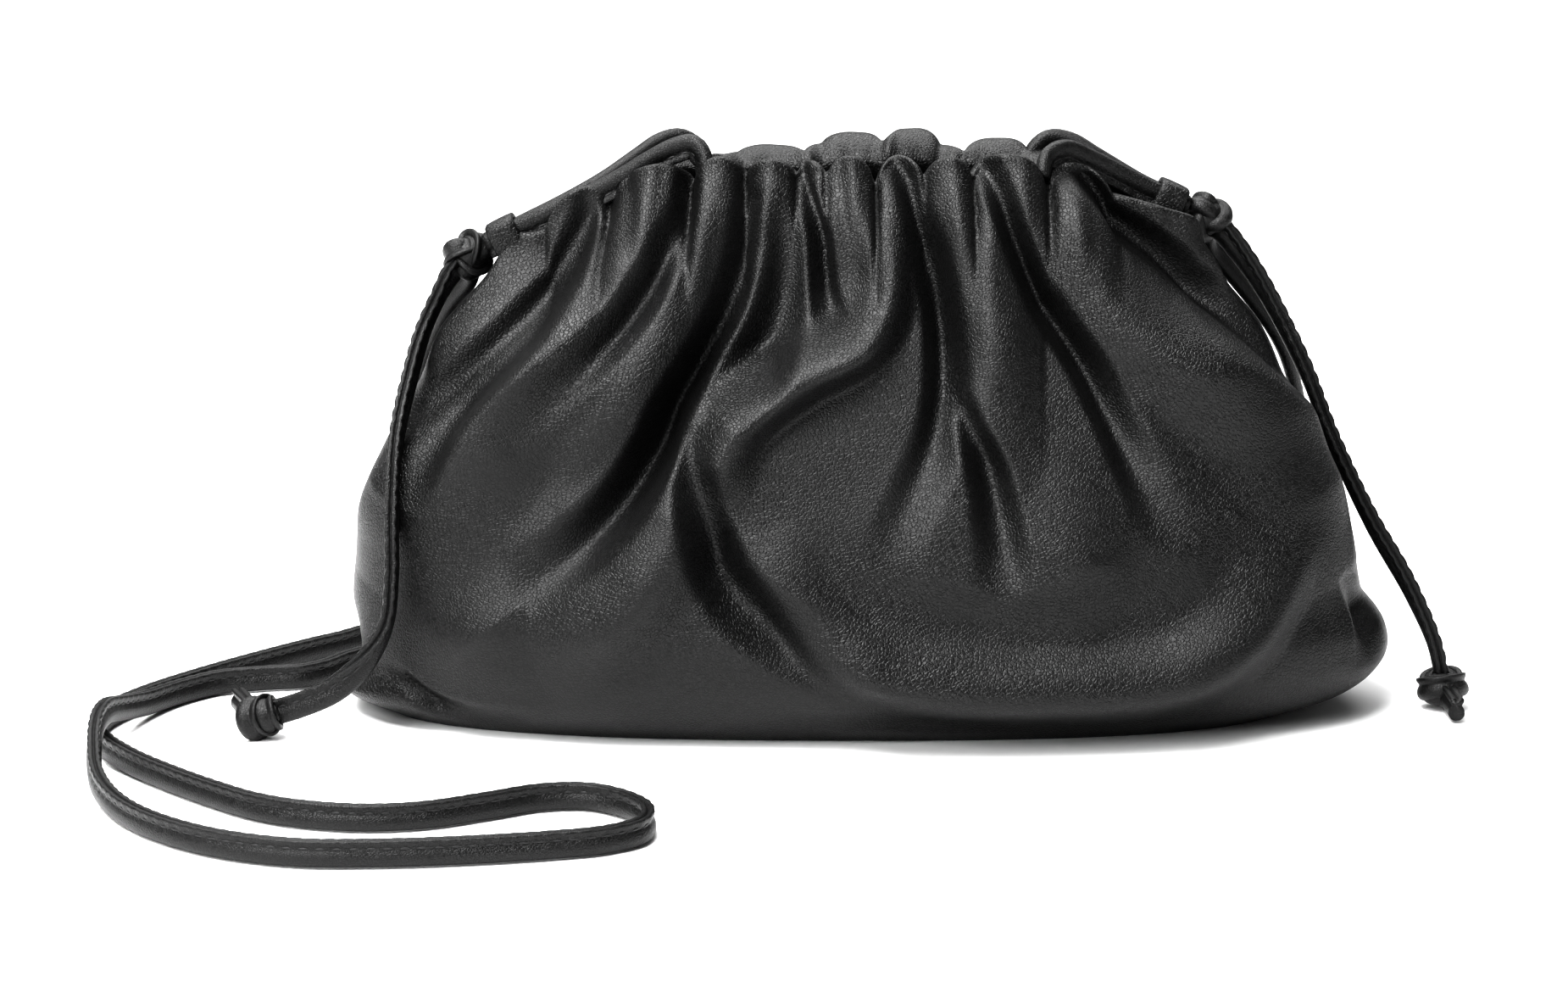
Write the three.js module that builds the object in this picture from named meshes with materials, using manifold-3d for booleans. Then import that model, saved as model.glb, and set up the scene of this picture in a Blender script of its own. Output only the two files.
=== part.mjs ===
// Soft leather pouch bag: a gathered mouth on a drawcord, knotted ties and a shoulder strap.
// Millimetres, +Z up. The front faces -Y and the base stands on z = 0.

import * as THREE from 'three';
import { mergeVertices } from 'three/addons/utils/BufferGeometryUtils.js';
import Module from 'manifold-3d';

const wasm = await Module();
wasm.setup();

// Driving sizes of the pouch
const bagWidth = 280;
const bagDepth = 115;
const bagHeight = 146;
const wallThickness = 2;
const hemThickness = 5;
const hemDepth = 18;
const leftShoulderDrop = 23.5;
const rightShoulderDrop = 17;
const backRise = 4;
const foldRelief = 13;
const foldSpread = 20;
const puffHeight = 5;
const puffBulge = 2.5;

// Driving sizes of the cords and what is on them
const cordWidth = 6.6;
const cordThickness = 3.8;
const keeperLength = 8;
const keeperWall = 1.3;
const knotLength = 13;
const knotGirth = 11;
const endKnotLength = 11;
const endKnotGirth = 11;
const wrapRadius = 2.2;
const clearance = 0.3;

// Mesh density of the pouch
const columns = 104;
const wallLevels = [0.02, 0.05, 0.1, 0.17, 0.24, 0.32, 0.4, 0.48, 0.56, 0.64, 0.72, 0.8, 0.87, 0.94, 1];
const hemRollSteps = 4;

// Horizontal sections: level is a share of the height, left and right of half the width,
// depth of half the depth.
const sections = [
  { level: 0, left: 0.9, right: 0.8, depth: 0.7 },
  { level: 0.045, left: 0.99, right: 0.93, depth: 0.87 },
  { level: 0.1, left: 0.955, right: 0.99, depth: 0.96 },
  { level: 0.16, left: 0.955, right: 0.99, depth: 0.99 },
  { level: 0.22, left: 0.965, right: 0.945, depth: 1 },
  { level: 0.3, left: 0.957, right: 0.925, depth: 0.97 },
  { level: 0.4, left: 0.937, right: 0.885, depth: 0.91 },
  { level: 0.5, left: 0.895, right: 0.825, depth: 0.82 },
  { level: 0.6, left: 0.835, right: 0.79, depth: 0.71 },
  { level: 0.7, left: 0.785, right: 0.745, depth: 0.6 },
  { level: 0.8, left: 0.695, right: 0.66, depth: 0.46 },
  { level: 0.9, left: 0.64, right: 0.6, depth: 0.34 },
  { level: 1, left: 0.61, right: 0.58, depth: 0.25 },
];

// The sections are superellipses, and the rim runs level up to this share of its half width.
const squareness = 2.5;
const levelRim = 0.55;

// Folds of the front: a path through three points, each x and z in shares of half the width and of
// the height, with its rise at the top and at the end in shares of the relief, and its reach to
// each side in shares of the spread.
const frontFolds = [
  { top: [-0.55, 0.9], bend: [-0.71, 0.75], end: [-0.8, 0.57], rise: 0.35, endRise: 0.15, reach: 0.7 },
  { top: [-0.35, 0.97], bend: [-0.47, 0.79], end: [-0.89, 0.38], rise: 0.4, endRise: 0.2, reach: 0.6 },
  { top: [-0.28, 0.99], bend: [-0.28, 0.75], end: [-0.57, 0.5], rise: 0.4, endRise: 0.2, reach: 0.6 },
  { top: [-0.02, 1], bend: [0.1, 0.8], end: [-0.06, 0.66], rise: 0.4, endRise: 0.25, reach: 0.7 },
  { top: [-0.03, 0.68], bend: [-0.2, 0.61], end: [-0.26, 0.45], rise: 0.25, endRise: 0.2, reach: 0.7 },
  { top: [0.14, 1], bend: [0.2, 0.81], end: [0.25, 0.54], rise: 0.4, endRise: 0.2, reach: 0.8 },
  { top: [0.24, 1], bend: [0.55, 0.82], end: [0.85, 0.4], rise: 0.5, endRise: 0.3, reach: 0.7 },
  { top: [0.39, 0.98], bend: [0.63, 0.87], end: [0.77, 0.6], rise: 0.4, endRise: 0.3, reach: 0.7 },
  { top: [-0.36, 0.49], bend: [-0.36, 0.36], end: [-0.53, 0.2], rise: 0.2, endRise: 0.2, reach: 0.8 },
  { top: [0.03, 0.54], bend: [-0.23, 0.42], end: [-0.2, 0.26], rise: 0.2, endRise: 0.25, reach: 0.9 },
  { top: [-0.22, 0.19], bend: [0.15, 0.1], end: [0.62, 0.12], rise: 0.12, endRise: 0.15, reach: 0.8 },
  { top: [-0.53, 0.87], bend: [-0.53, 0.71], end: [-0.83, 0.48], rise: -0.55, endRise: -0.3, reach: 0.7 },
  { top: [-0.2, 0.91], bend: [-0.27, 0.61], end: [-0.51, 0.38], rise: -0.3, endRise: -0.5, reach: 0.8 },
  { top: [-0.12, 0.98], bend: [-0.09, 0.87], end: [-0.07, 0.73], rise: -0.4, endRise: -0.3, reach: 0.6 },
  { top: [0.01, 0.99], bend: [0.14, 0.81], end: [0.16, 0.45], rise: -0.35, endRise: -0.35, reach: 0.8 },
  { top: [0.19, 0.98], bend: [0.37, 0.8], end: [0.5, 0.46], rise: -0.5, endRise: -0.4, reach: 0.9 },
  { top: [0.35, 0.93], bend: [0.58, 0.81], end: [0.78, 0.57], rise: -0.5, endRise: -0.2, reach: 0.6 },
  { top: [-0.32, 0.52], bend: [-0.36, 0.35], end: [-0.14, 0.19], rise: -0.25, endRise: -0.3, reach: 0.7 },
];

// Folds of the back, in the same terms.
const backFolds = [
  { top: [-0.5, 0.95], bend: [-0.66, 0.75], end: [-0.78, 0.45], rise: 0.45, endRise: 0.2, reach: 0.8 },
  { top: [-0.34, 1], bend: [-0.46, 0.75], end: [-0.52, 0.4], rise: 0.45, endRise: 0.2, reach: 0.8 },
  { top: [-0.19, 1], bend: [-0.22, 0.76], end: [-0.3, 0.5], rise: 0.45, endRise: 0.2, reach: 0.8 },
  { top: [-0.03, 1], bend: [-0.04, 0.7], end: [0.02, 0.35], rise: 0.5, endRise: 0.2, reach: 0.9 },
  { top: [0.1, 1], bend: [0.18, 0.76], end: [0.22, 0.55], rise: 0.4, endRise: 0.2, reach: 0.7 },
  { top: [0.25, 1], bend: [0.38, 0.72], end: [0.48, 0.38], rise: 0.5, endRise: 0.25, reach: 0.8 },
  { top: [0.42, 0.98], bend: [0.6, 0.75], end: [0.74, 0.45], rise: 0.45, endRise: 0.25, reach: 0.8 },
  { top: [-0.42, 0.98], bend: [-0.56, 0.76], end: [-0.66, 0.5], rise: -0.5, endRise: -0.2, reach: 0.7 },
  { top: [-0.26, 0.98], bend: [-0.34, 0.74], end: [-0.4, 0.45], rise: -0.5, endRise: -0.2, reach: 0.7 },
  { top: [0.03, 0.98], bend: [0.08, 0.72], end: [0.12, 0.45], rise: -0.5, endRise: -0.2, reach: 0.7 },
  { top: [-0.45, 0.2], bend: [0, 0.14], end: [0.45, 0.2], rise: 0.1, endRise: 0.1, reach: 1 },
  { top: [0.18, 0.98], bend: [0.29, 0.74], end: [0.35, 0.45], rise: -0.5, endRise: -0.2, reach: 0.7 },
];

// Puffs along the rim: x and half are shares of half the width, rise of the puff height.
const frontPuffs = [
  { x: -0.53, half: 0.1, rise: 0.7 },
  { x: -0.37, half: 0.09, rise: 1 },
  { x: -0.27, half: 0.06, rise: 0.8 },
  { x: -0.17, half: 0.06, rise: 0.8 },
  { x: -0.02, half: 0.07, rise: 0.9 },
  { x: 0.13, half: 0.08, rise: 1 },
  { x: 0.25, half: 0.07, rise: 1 },
  { x: 0.4, half: 0.08, rise: 0.8 },
];
const backPuffs = [
  { x: -0.49, half: 0.09, rise: 0.6 },
  { x: -0.34, half: 0.08, rise: 0.8 },
  { x: -0.19, half: 0.08, rise: 0.7 },
  { x: -0.03, half: 0.08, rise: 1 },
  { x: 0.1, half: 0.06, rise: 1 },
  { x: 0.25, half: 0.09, rise: 0.9 },
  { x: 0.42, half: 0.09, rise: 0.7 },
];

// Where the keepers and knots sit, and which way they point
const leftKeeperAt = new THREE.Vector3(-93.5, 0, 125.4);
const leftKnotAt = new THREE.Vector3(-103.5, 0, 120.4);
const rightKeeperAt = new THREE.Vector3(79.7, 5, 134.2);
const rightKnotAt = new THREE.Vector3(89.8, 5, 129.6);
const leftEndKnotAt = new THREE.Vector3(-156, -38.5, 6);
const rightEndKnotAt = new THREE.Vector3(154, -8, 6);
const leftEndKnotAxis = new THREE.Vector3(1, -0.2, 0);
const rightEndKnotAxis = new THREE.Vector3(0, 0.25, 0.95);

function smooth(value) {
  const share = Math.min(Math.max(value, 0), 1);
  return share * share * (3 - 2 * share);
}

// A smooth curve through the rows of the section table
function sectionShare(level, column) {
  const height = Math.min(Math.max(level, 0), 1);
  let low = 0;
  while (low < sections.length - 2 && sections[low + 1].level < height) {
    low += 1;
  }
  const before = sections[Math.max(low - 1, 0)];
  const start = sections[low];
  const end = sections[low + 1];
  const after = sections[Math.min(low + 2, sections.length - 1)];
  const span = end.level - start.level;
  const share = (height - start.level) / span;
  const startSlope = (end[column] - before[column]) / (end.level - before.level);
  const endSlope = (after[column] - start[column]) / (after.level - start.level);
  const rest = 1 - share;
  const fromStart = start[column] * (1 + 2 * share) * rest * rest;
  const fromEnd = end[column] * share * share * (3 - 2 * share);
  return fromStart + fromEnd + span * (startSlope * share * rest * rest - endSlope * share * share * rest);
}

// Each fold's path is a quadratic curve, kept as points in mm
const pathSteps = 10;

function onPanel([x, z]) {
  return new THREE.Vector2(x * bagWidth / 2, z * bagHeight);
}

function foldPath(fold) {
  const top = onPanel(fold.top);
  const end = onPanel(fold.end);
  const control = onPanel(fold.bend).multiplyScalar(2);
  control.addScaledVector(top, -0.5).addScaledVector(end, -0.5);
  return new THREE.QuadraticBezierCurve(top, control, end).getPoints(pathSteps);
}

function withPaths(folds) {
  return folds.map((fold) => ({ ...fold, path: foldPath(fold) }));
}

const foldsOfFront = withPaths(frontFolds);
const foldsOfBack = withPaths(backFolds);

// How far one fold moves the leather at a place on the panel
function foldPush(fold, place) {
  let nearest = Infinity;
  let along = 0;
  for (let step = 0; step < pathSteps; step += 1) {
    const from = fold.path[step];
    const chord = fold.path[step + 1].clone().sub(from);
    const offset = place.clone().sub(from);
    const share = Math.min(Math.max(offset.dot(chord) / chord.lengthSq(), 0), 1);
    const distance = offset.addScaledVector(chord, -share).length();
    if (distance < nearest) {
      nearest = distance;
      along = (step + share) / pathSteps;
    }
  }
  const rise = (fold.rise + (fold.endRise - fold.rise) * along) * foldRelief;
  const reach = Math.min(nearest / (fold.reach * foldSpread), 1);
  return rise * Math.cos(reach * Math.PI / 2) ** 2;
}

function puffShare(puffs, x) {
  let share = 0;
  for (const puff of puffs) {
    const offset = Math.min(Math.abs(x / (bagWidth / 2) - puff.x) / puff.half, 1);
    share += puff.rise * Math.cos(offset * Math.PI / 2) ** 2;
  }
  return share;
}

// A point of the pouch at a turn round it and a level up it. The inset goes into the leather,
// the lift goes up, and damping flattens the folds on the inside of the hem.
const seamFade = 0.35;
const baseFade = 0.06;
const rimFade = 0.14;

function pouchPoint(turn, level, inset, lift, damping) {
  const cosine = Math.cos(turn);
  const sine = Math.sin(turn);
  const along = Math.sign(cosine) * Math.abs(cosine) ** (2 / squareness);
  const across = Math.sign(sine) * Math.abs(sine) ** (2 / squareness);
  const shoulder = smooth((Math.abs(along) - levelRim) / (1 - levelRim));
  const shoulderDrop = along < 0 ? leftShoulderDrop : rightShoulderDrop;
  const back = smooth(across) * backRise;
  const rimHeight = bagHeight - puffHeight - hemThickness / 2 + back;
  const height = level * rimHeight - shoulder * shoulderDrop * level ** 2;
  const share = height / bagHeight;
  const halfWidth = sectionShare(share, along < 0 ? 'left' : 'right') * bagWidth / 2;
  const halfDepth = sectionShare(share, 'depth') * bagDepth / 2;
  const normal = new THREE.Vector2(
    Math.sign(along) * Math.abs(along) ** (squareness - 1) / halfWidth,
    Math.sign(across) * Math.abs(across) ** (squareness - 1) / halfDepth,
  ).normalize();

  const place = new THREE.Vector2(along * halfWidth, height);
  const folds = sine < 0 ? foldsOfFront : foldsOfBack;
  const fade = smooth(Math.abs(across) / seamFade) * smooth(share / baseFade);
  const puffFade = smooth((level - 1 + rimFade) / rimFade) * fade;
  const puffed = puffShare(sine < 0 ? frontPuffs : backPuffs, place.x) * puffFade;
  let push = puffed * puffBulge;
  for (const fold of folds) {
    push += foldPush(fold, place) * fade;
  }
  push *= damping;
  return new THREE.Vector3(
    along * (halfWidth - inset) + normal.x * push,
    across * (halfDepth - inset) + normal.y * push,
    height + lift + puffed * puffHeight,
  );
}

// Turns that space the columns evenly along a middle section, half a column off the side seams
function evenTurns() {
  const samples = 2000;
  const lengths = [0];
  const corner = (index) => {
    const turn = index / samples * 2 * Math.PI;
    return new THREE.Vector2(
      Math.sign(Math.cos(turn)) * Math.abs(Math.cos(turn)) ** (2 / squareness) * bagWidth / 2,
      Math.sign(Math.sin(turn)) * Math.abs(Math.sin(turn)) ** (2 / squareness) * bagDepth / 2,
    );
  };
  for (let index = 1; index <= samples; index += 1) {
    lengths.push(lengths[index - 1] + corner(index).distanceTo(corner(index - 1)));
  }
  const turns = [];
  let index = 0;
  for (let column = 0; column < columns; column += 1) {
    const target = (column + 0.5) / columns * lengths[samples];
    while (lengths[index + 1] < target) {
      index += 1;
    }
    const share = (target - lengths[index]) / (lengths[index + 1] - lengths[index]);
    turns.push((index + share) / samples * 2 * Math.PI);
  }
  return turns;
}

// Rings of points from the middle of the base, up the outside, over the hem and down the inside
function pouchRings(turns) {
  const rings = [];
  const wholeRing = (level, inset, lift, damping) => {
    rings.push(turns.map((turn) => pouchPoint(turn, level, inset, lift, damping)));
  };
  const flatRing = (inset, height, scale) => {
    rings.push(turns.map((turn) => {
      const edge = pouchPoint(turn, 0, inset, height, 1);
      return new THREE.Vector3(edge.x * scale, edge.y * scale, height);
    }));
  };
  const innerScale = 0.5;
  const hemDamping = 0.5;
  flatRing(0, 0, innerScale);
  flatRing(0, 0, 1);
  for (const level of wallLevels) {
    wholeRing(level, 0, 0, 1);
  }
  const rollRadius = hemThickness / 2;
  for (let step = 1; step <= hemRollSteps; step += 1) {
    const angle = step / hemRollSteps * Math.PI;
    const damping = 1 - (1 - hemDamping) * step / hemRollSteps;
    wholeRing(1, rollRadius * (1 - Math.cos(angle)), rollRadius * Math.sin(angle), damping);
  }
  const hemLevel = 1 - hemDepth / bagHeight;
  wholeRing(hemLevel, hemThickness, 0, hemDamping);
  for (const level of wallLevels.filter((value) => value < hemLevel - 0.01).reverse()) {
    wholeRing(level, wallThickness, 0, 1);
  }
  flatRing(wallThickness, wallThickness, 1);
  flatRing(wallThickness, wallThickness, innerScale);
  return rings;
}

function asSolid(geometry) {
  const plain = geometry.clone();
  plain.deleteAttribute('normal');
  plain.deleteAttribute('uv');
  const merged = mergeVertices(plain);
  return new wasm.Manifold(new wasm.Mesh({
    numProp: 3,
    vertProperties: new Float32Array(merged.attributes.position.array),
    triVerts: new Uint32Array(merged.index.array),
  }));
}

function asGeometry(solid) {
  const mesh = solid.getMesh();
  const geometry = new THREE.BufferGeometry();
  geometry.setAttribute('position', new THREE.BufferAttribute(mesh.vertProperties, 3));
  geometry.setIndex(new THREE.BufferAttribute(mesh.triVerts, 1));
  geometry.computeVertexNormals();
  return geometry;
}

function pouchGeometry() {
  const turns = evenTurns();
  const rings = pouchRings(turns);
  const points = rings.flat();
  const last = rings.length - 1;
  const baseCentre = points.push(new THREE.Vector3(0, 0, 0)) - 1;
  const floorCentre = points.push(new THREE.Vector3(0, 0, wallThickness)) - 1;
  const triangles = [];
  for (let column = 0; column < columns; column += 1) {
    const next = (column + 1) % columns;
    triangles.push(baseCentre, next, column);
    for (let ring = 0; ring < last; ring += 1) {
      const low = ring * columns;
      const high = low + columns;
      triangles.push(low + column, low + next, high + next);
      triangles.push(low + column, high + next, high + column);
    }
    triangles.push(floorCentre, last * columns + column, last * columns + next);
  }
  const geometry = new THREE.BufferGeometry().setFromPoints(points);
  geometry.setIndex(triangles);
  return geometry;
}

// The front and back panels meet at the side seams and under the base
function pouchPanels() {
  const pouch = asSolid(pouchGeometry());
  const room = 2 * bagWidth;
  const halfSpace = (side) => {
    const block = new THREE.BoxGeometry(room, room, room);
    block.translate(0, side * (room + clearance) / 2, 0);
    return asSolid(block);
  };
  return {
    front: pouch.intersect(halfSpace(-1)),
    back: pouch.intersect(halfSpace(1)),
  };
}

// A flat cord along a route. Its width stands upright where the route runs level, and turns to lie
// front to back where the route hangs. lean is -1 where its upper edge turns to the front on the
// way, and 1 where it turns to the back.
class CordRoute extends THREE.CatmullRomCurve3 {
  constructor(points, lean) {
    super(points);
    this.lean = lean;
  }

  computeFrenetFrames(steps) {
    const frames = { tangents: [], normals: [], binormals: [] };
    for (let step = 0; step <= steps; step += 1) {
      const tangent = this.getTangentAt(step / steps);
      const steepness = tangent.z ** 4;
      const wide = new THREE.Vector3(0, this.lean * steepness, 1 - steepness);
      wide.addScaledVector(tangent, -wide.dot(tangent)).normalize();
      frames.tangents.push(tangent);
      frames.normals.push(wide);
      frames.binormals.push(new THREE.Vector3().crossVectors(tangent, wide));
    }
    return frames;
  }
}

const cordStep = 16;
const cordSides = 8;

function cordSection() {
  const section = new THREE.Shape();
  section.absellipse(0, 0, cordWidth / 2, cordThickness / 2, 0, 2 * Math.PI);
  return section;
}

// Whether a point lies in a knot's room, which is the knot's shape grown by the clearance
function inRoom(room, point) {
  const offset = point.clone().sub(room.at);
  const along = offset.dot(room.axis);
  const out = Math.sqrt(Math.max(offset.lengthSq() - along * along, 0));
  const halfLength = room.length / 2 + clearance;
  const halfGirth = room.girth / 2 + clearance;
  return Math.hypot(along / halfLength, out / halfGirth) < 1;
}

// The part of a route that stays out of the knots at its ends
function clearRoute(route, rooms) {
  const steps = Math.ceil(route.getLength() / clearance);
  const frames = route.computeFrenetFrames(steps);
  const isClear = (step) => [-1, 0, 1].every((side) => {
    const edge = route.getPointAt(step / steps);
    edge.addScaledVector(frames.normals[step], side * cordWidth / 2);
    return rooms.every((room) => !inRoom(room, edge));
  });
  let first = 0;
  let last = steps;
  while (!isClear(first)) {
    first += 1;
  }
  while (!isClear(last)) {
    last -= 1;
  }
  const points = [];
  const spans = Math.ceil((last - first) * clearance / cordWidth);
  for (let span = 0; span <= spans; span += 1) {
    points.push(route.getPointAt((first + (last - first) * span / spans) / steps));
  }
  return new CordRoute(points, route.lean);
}

function cordSolid(points, lean, rooms) {
  const route = clearRoute(new CordRoute(points, lean), rooms);
  const steps = Math.max(Math.ceil(route.getLength() / cordStep), 8);
  const geometry = new THREE.ExtrudeGeometry(cordSection(), {
    steps,
    curveSegments: cordSides / 2,
    extrudePath: route,
  });
  return asSolid(geometry);
}

// A knot is a tight core with wraps of cord round it, turned so that its X axis lies along axis.
function placed(geometry, at, axis) {
  const along = new THREE.Vector3(1, 0, 0);
  const turn = new THREE.Quaternion().setFromUnitVectors(along, axis.clone().normalize());
  geometry.applyQuaternion(turn);
  geometry.translate(at.x, at.y, at.z);
  return geometry;
}

function ellipsoid(length, girth) {
  return new THREE.SphereGeometry(0.5, 14, 8).scale(length, girth, girth);
}

function knotSolid(at, axis, length, girth) {
  const core = asSolid(placed(ellipsoid(length, girth - wrapRadius), at, axis));
  const wrapPath = girth / 2 - wrapRadius;
  const around = new THREE.TorusGeometry(wrapPath, wrapRadius, 6, 12).rotateY(Math.PI / 2 - 0.35);
  const across = new THREE.TorusGeometry(wrapPath, wrapRadius, 6, 12).rotateX(Math.PI / 3);
  return core.add(asSolid(placed(around, at, axis))).add(asSolid(placed(across, at, axis)));
}

// A keeper is a leather sleeve round both strands of the drawcord
const strandPitch = cordThickness + clearance;
const holeWidth = cordWidth + 2 * clearance;
const holeThickness = strandPitch + cordThickness + 2 * clearance;

function keeperSolid(at, axis) {
  const outerThickness = holeThickness + 2 * keeperWall;
  const outer = new THREE.BoxGeometry(keeperLength, outerThickness, holeWidth + 2 * keeperWall);
  const hole = new THREE.BoxGeometry(2 * keeperLength, holeThickness, holeWidth);
  return asSolid(placed(outer, at, axis)).subtract(asSolid(placed(hole, at, axis)));
}

// Routes of the cords, in mm. The drawcord leaves the hem, runs over the shoulder and through the
// keeper, and ends in the knot.
const drawcordRoutes = {
  drawcord_left_front: [
    [-41.5, -11, 142.3], [-41.9, -9.5, 146.8], [-44.5, -8, 149.8], [-49, -7, 148.8], [-55, -6, 145.6],
    [-63, -5, 140.6], [-71, -4, 136.2], [-79.5, -3, 132.3], [-86.5, -2.4, 128.9],
    [-93.5, -2.05, 125.4], [-103.5, -2.05, 120.4],
  ],
  drawcord_left_back: [
    [-45, 11, 148.6], [-48.5, 10, 150.3], [-53, 9, 149], [-58.5, 8, 145.2], [-66.5, 6, 139.4],
    [-73.5, 4.5, 135.4], [-80.5, 3.2, 131.8], [-86.5, 2.4, 128.9],
    [-93.5, 2.05, 125.4], [-103.5, 2.05, 120.4],
  ],
  drawcord_right_front: [
    [46, -10.5, 141.9], [47.2, -8, 146.4], [52, -4, 148], [57, -1.5, 145.8], [64.5, 1, 141.9],
    [72.5, 2.6, 137.6], [79.7, 2.95, 134.2], [89.8, 2.95, 129.6],
  ],
  drawcord_right_back: [
    [46, 11.5, 146.6], [48.6, 12, 149.4], [54, 11.5, 148.6], [60, 10, 144.8], [66.5, 8.6, 141],
    [72.5, 7.4, 137.6], [79.7, 7.05, 134.2], [89.8, 7.05, 129.6],
  ],
};

// The ties hang from the knots to the knots near their ends.
const tieRoutes = {
  tie_left: [
    [-105, -1.5, 119.5], [-108.5, -1.5, 114.8], [-114.8, -3.5, 102.6], [-118.6, -14, 89],
    [-121, -26, 75.5], [-121.5, -35.5, 59], [-121.5, -40, 43], [-123, -42, 31], [-128, -43, 22],
    [-136, -43, 14.5], [-145, -41.5, 10], [-156, -38.5, 6],
  ],
  tie_right: [
    [92, 4, 128.5], [96.8, 3.5, 123], [105, 2.5, 111.5], [116, 0, 91], [124, -2, 71.5],
    [134.5, -4, 50], [145, -6, 32], [151.5, -7.5, 18], [154, -8, 6],
  ],
};

// The tail is the short end of a tie beyond its end knot.
const tailRoutes = {
  tail_left: [[-156, -38.5, 5.2], [-160, -28.5, 4.6], [-163, -20, 4], [-165.5, -12.5, 3.6]],
  tail_right: [[154, -8, 6], [154.6, -14, 4.6], [155, -20, 3.7], [155.3, -24, 3.5]],
};

// The strap hangs from the left knot behind the pouch, goes out at the left, makes a loop on the
// ground, goes back behind the pouch and rises to the right knot. It lies on its edge, so its
// middle runs half its width above the ground, and it crosses over itself once at the left.
const ground = cordWidth / 2 + clearance;
const crossed = ground + cordWidth + clearance;
const strapRoute = [
  [-103, 2.5, 119.5], [-103.5, 6.5, 114.5], [-109, 12.5, 107.5], [-115, 20, 96], [-120.5, 30, 80],
  [-125, 42, 60], [-129, 52, 40], [-131, 58, 22], [-133, 60, 10.5], [-136.5, 57.5, 5], [-143, 51, ground],
  [-152, 41, ground], [-166, 24, ground], [-180, 5, ground], [-190.5, -12, ground],
  [-197, -28, ground], [-198, -42, ground], [-193, -58, ground], [-184, -73, ground],
  [-172, -88, ground], [-159, -102, ground], [-148, -112, ground], [-137, -118, ground],
  [-122, -121.5, ground], [-107, -119.5, ground], [-92, -111.5, ground], [-80, -104.5, ground],
  [-69, -103.5, ground], [-59.5, -110, ground], [-53.5, -121, ground], [-54.5, -132, ground],
  [-63, -139.5, ground], [-75, -143.5, ground], [-94, -147.5, ground], [-114, -149.8, ground],
  [-133, -149.5, ground], [-152, -142.5, ground], [-168, -130, ground], [-180, -114, ground],
  [-188.5, -95, ground], [-192.5, -77, ground + 2], [-194, -63, crossed], [-193.8, -50, crossed],
  [-192, -36, ground + 2], [-188.5, -20, ground], [-182, -5, ground], [-173, 5, ground],
  [-161, 9.5, ground], [-152, 11.5, ground], [-146, 17, ground], [-141, 26, ground],
  [-132, 36, ground], [-117, 44.5, ground], [-95, 50.5, ground], [-60, 54.5, ground],
  [-20, 56.5, ground], [20, 57, ground], [60, 56, ground], [88, 55.5, ground], [106, 55.5, 7],
  [116, 54, 18], [120, 49, 34], [121.5, 42.5, 50], [120.5, 34.5, 67], [117, 26, 82],
  [112.5, 20, 94], [106, 17, 104.5], [98, 14.5, 114.5], [92, 12, 121.5], [90.5, 8, 127.5],
];

// Materials from the photograph
function leather(color, roughness) {
  return new THREE.MeshStandardMaterial({ color, roughness, metalness: 0 });
}

const panelLeather = leather('#232323', 0.5);
const cordLeather = leather('#1d1d1d', 0.55);

const bag = new THREE.Group();

function addPiece(name, solid, material) {
  const mesh = new THREE.Mesh(asGeometry(solid), material);
  mesh.name = name;
  bag.add(mesh);
}

const panels = pouchPanels();
addPiece('front_panel', panels.front, panelLeather);
addPiece('back_panel', panels.back, panelLeather);

const sides = {
  left: {
    keeperAt: leftKeeperAt,
    knotAt: leftKnotAt,
    endKnotAt: leftEndKnotAt,
    endKnotAxis: leftEndKnotAxis,
  },
  right: {
    keeperAt: rightKeeperAt,
    knotAt: rightKnotAt,
    endKnotAt: rightEndKnotAt,
    endKnotAxis: rightEndKnotAxis,
  },
};

function cordAlong(route, lean, rooms) {
  return cordSolid(route.map((point) => new THREE.Vector3(...point)), lean, rooms);
}

function knotRoom(at, axis, length, girth) {
  return { at, axis: axis.clone().normalize(), length, girth };
}

for (const [side, place] of Object.entries(sides)) {
  const axis = place.knotAt.clone().sub(place.keeperAt);
  place.room = knotRoom(place.knotAt, axis, knotLength, knotGirth);
  const endRoom = knotRoom(place.endKnotAt, place.endKnotAxis, endKnotLength, endKnotGirth);
  addPiece(`keeper_${side}`, keeperSolid(place.keeperAt, axis), cordLeather);
  addPiece(`knot_${side}`, knotSolid(place.knotAt, axis, knotLength, knotGirth), cordLeather);
  for (const panel of ['front', 'back']) {
    const name = `drawcord_${side}_${panel}`;
    addPiece(name, cordAlong(drawcordRoutes[name], -1, [place.room]), cordLeather);
  }
  const tie = cordAlong(tieRoutes[`tie_${side}`], -1, [place.room, endRoom]);
  addPiece(`tie_${side}`, tie, cordLeather);
  const tail = cordAlong(tailRoutes[`tail_${side}`], -1, []);
  const endKnot = knotSolid(place.endKnotAt, place.endKnotAxis, endKnotLength, endKnotGirth).add(tail);
  addPiece(`end_knot_${side}`, endKnot, cordLeather);
}

addPiece('strap', cordAlong(strapRoute, 1, [sides.left.room, sides.right.room]), cordLeather);

export default bag;
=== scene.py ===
# A soft black leather pouch bag with a gathered mouth, knotted ties and a long shoulder strap,
# standing on a pale studio floor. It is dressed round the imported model, in metres.

import math

import bpy
import numpy as np
from mathutils import Matrix, Vector


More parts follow.
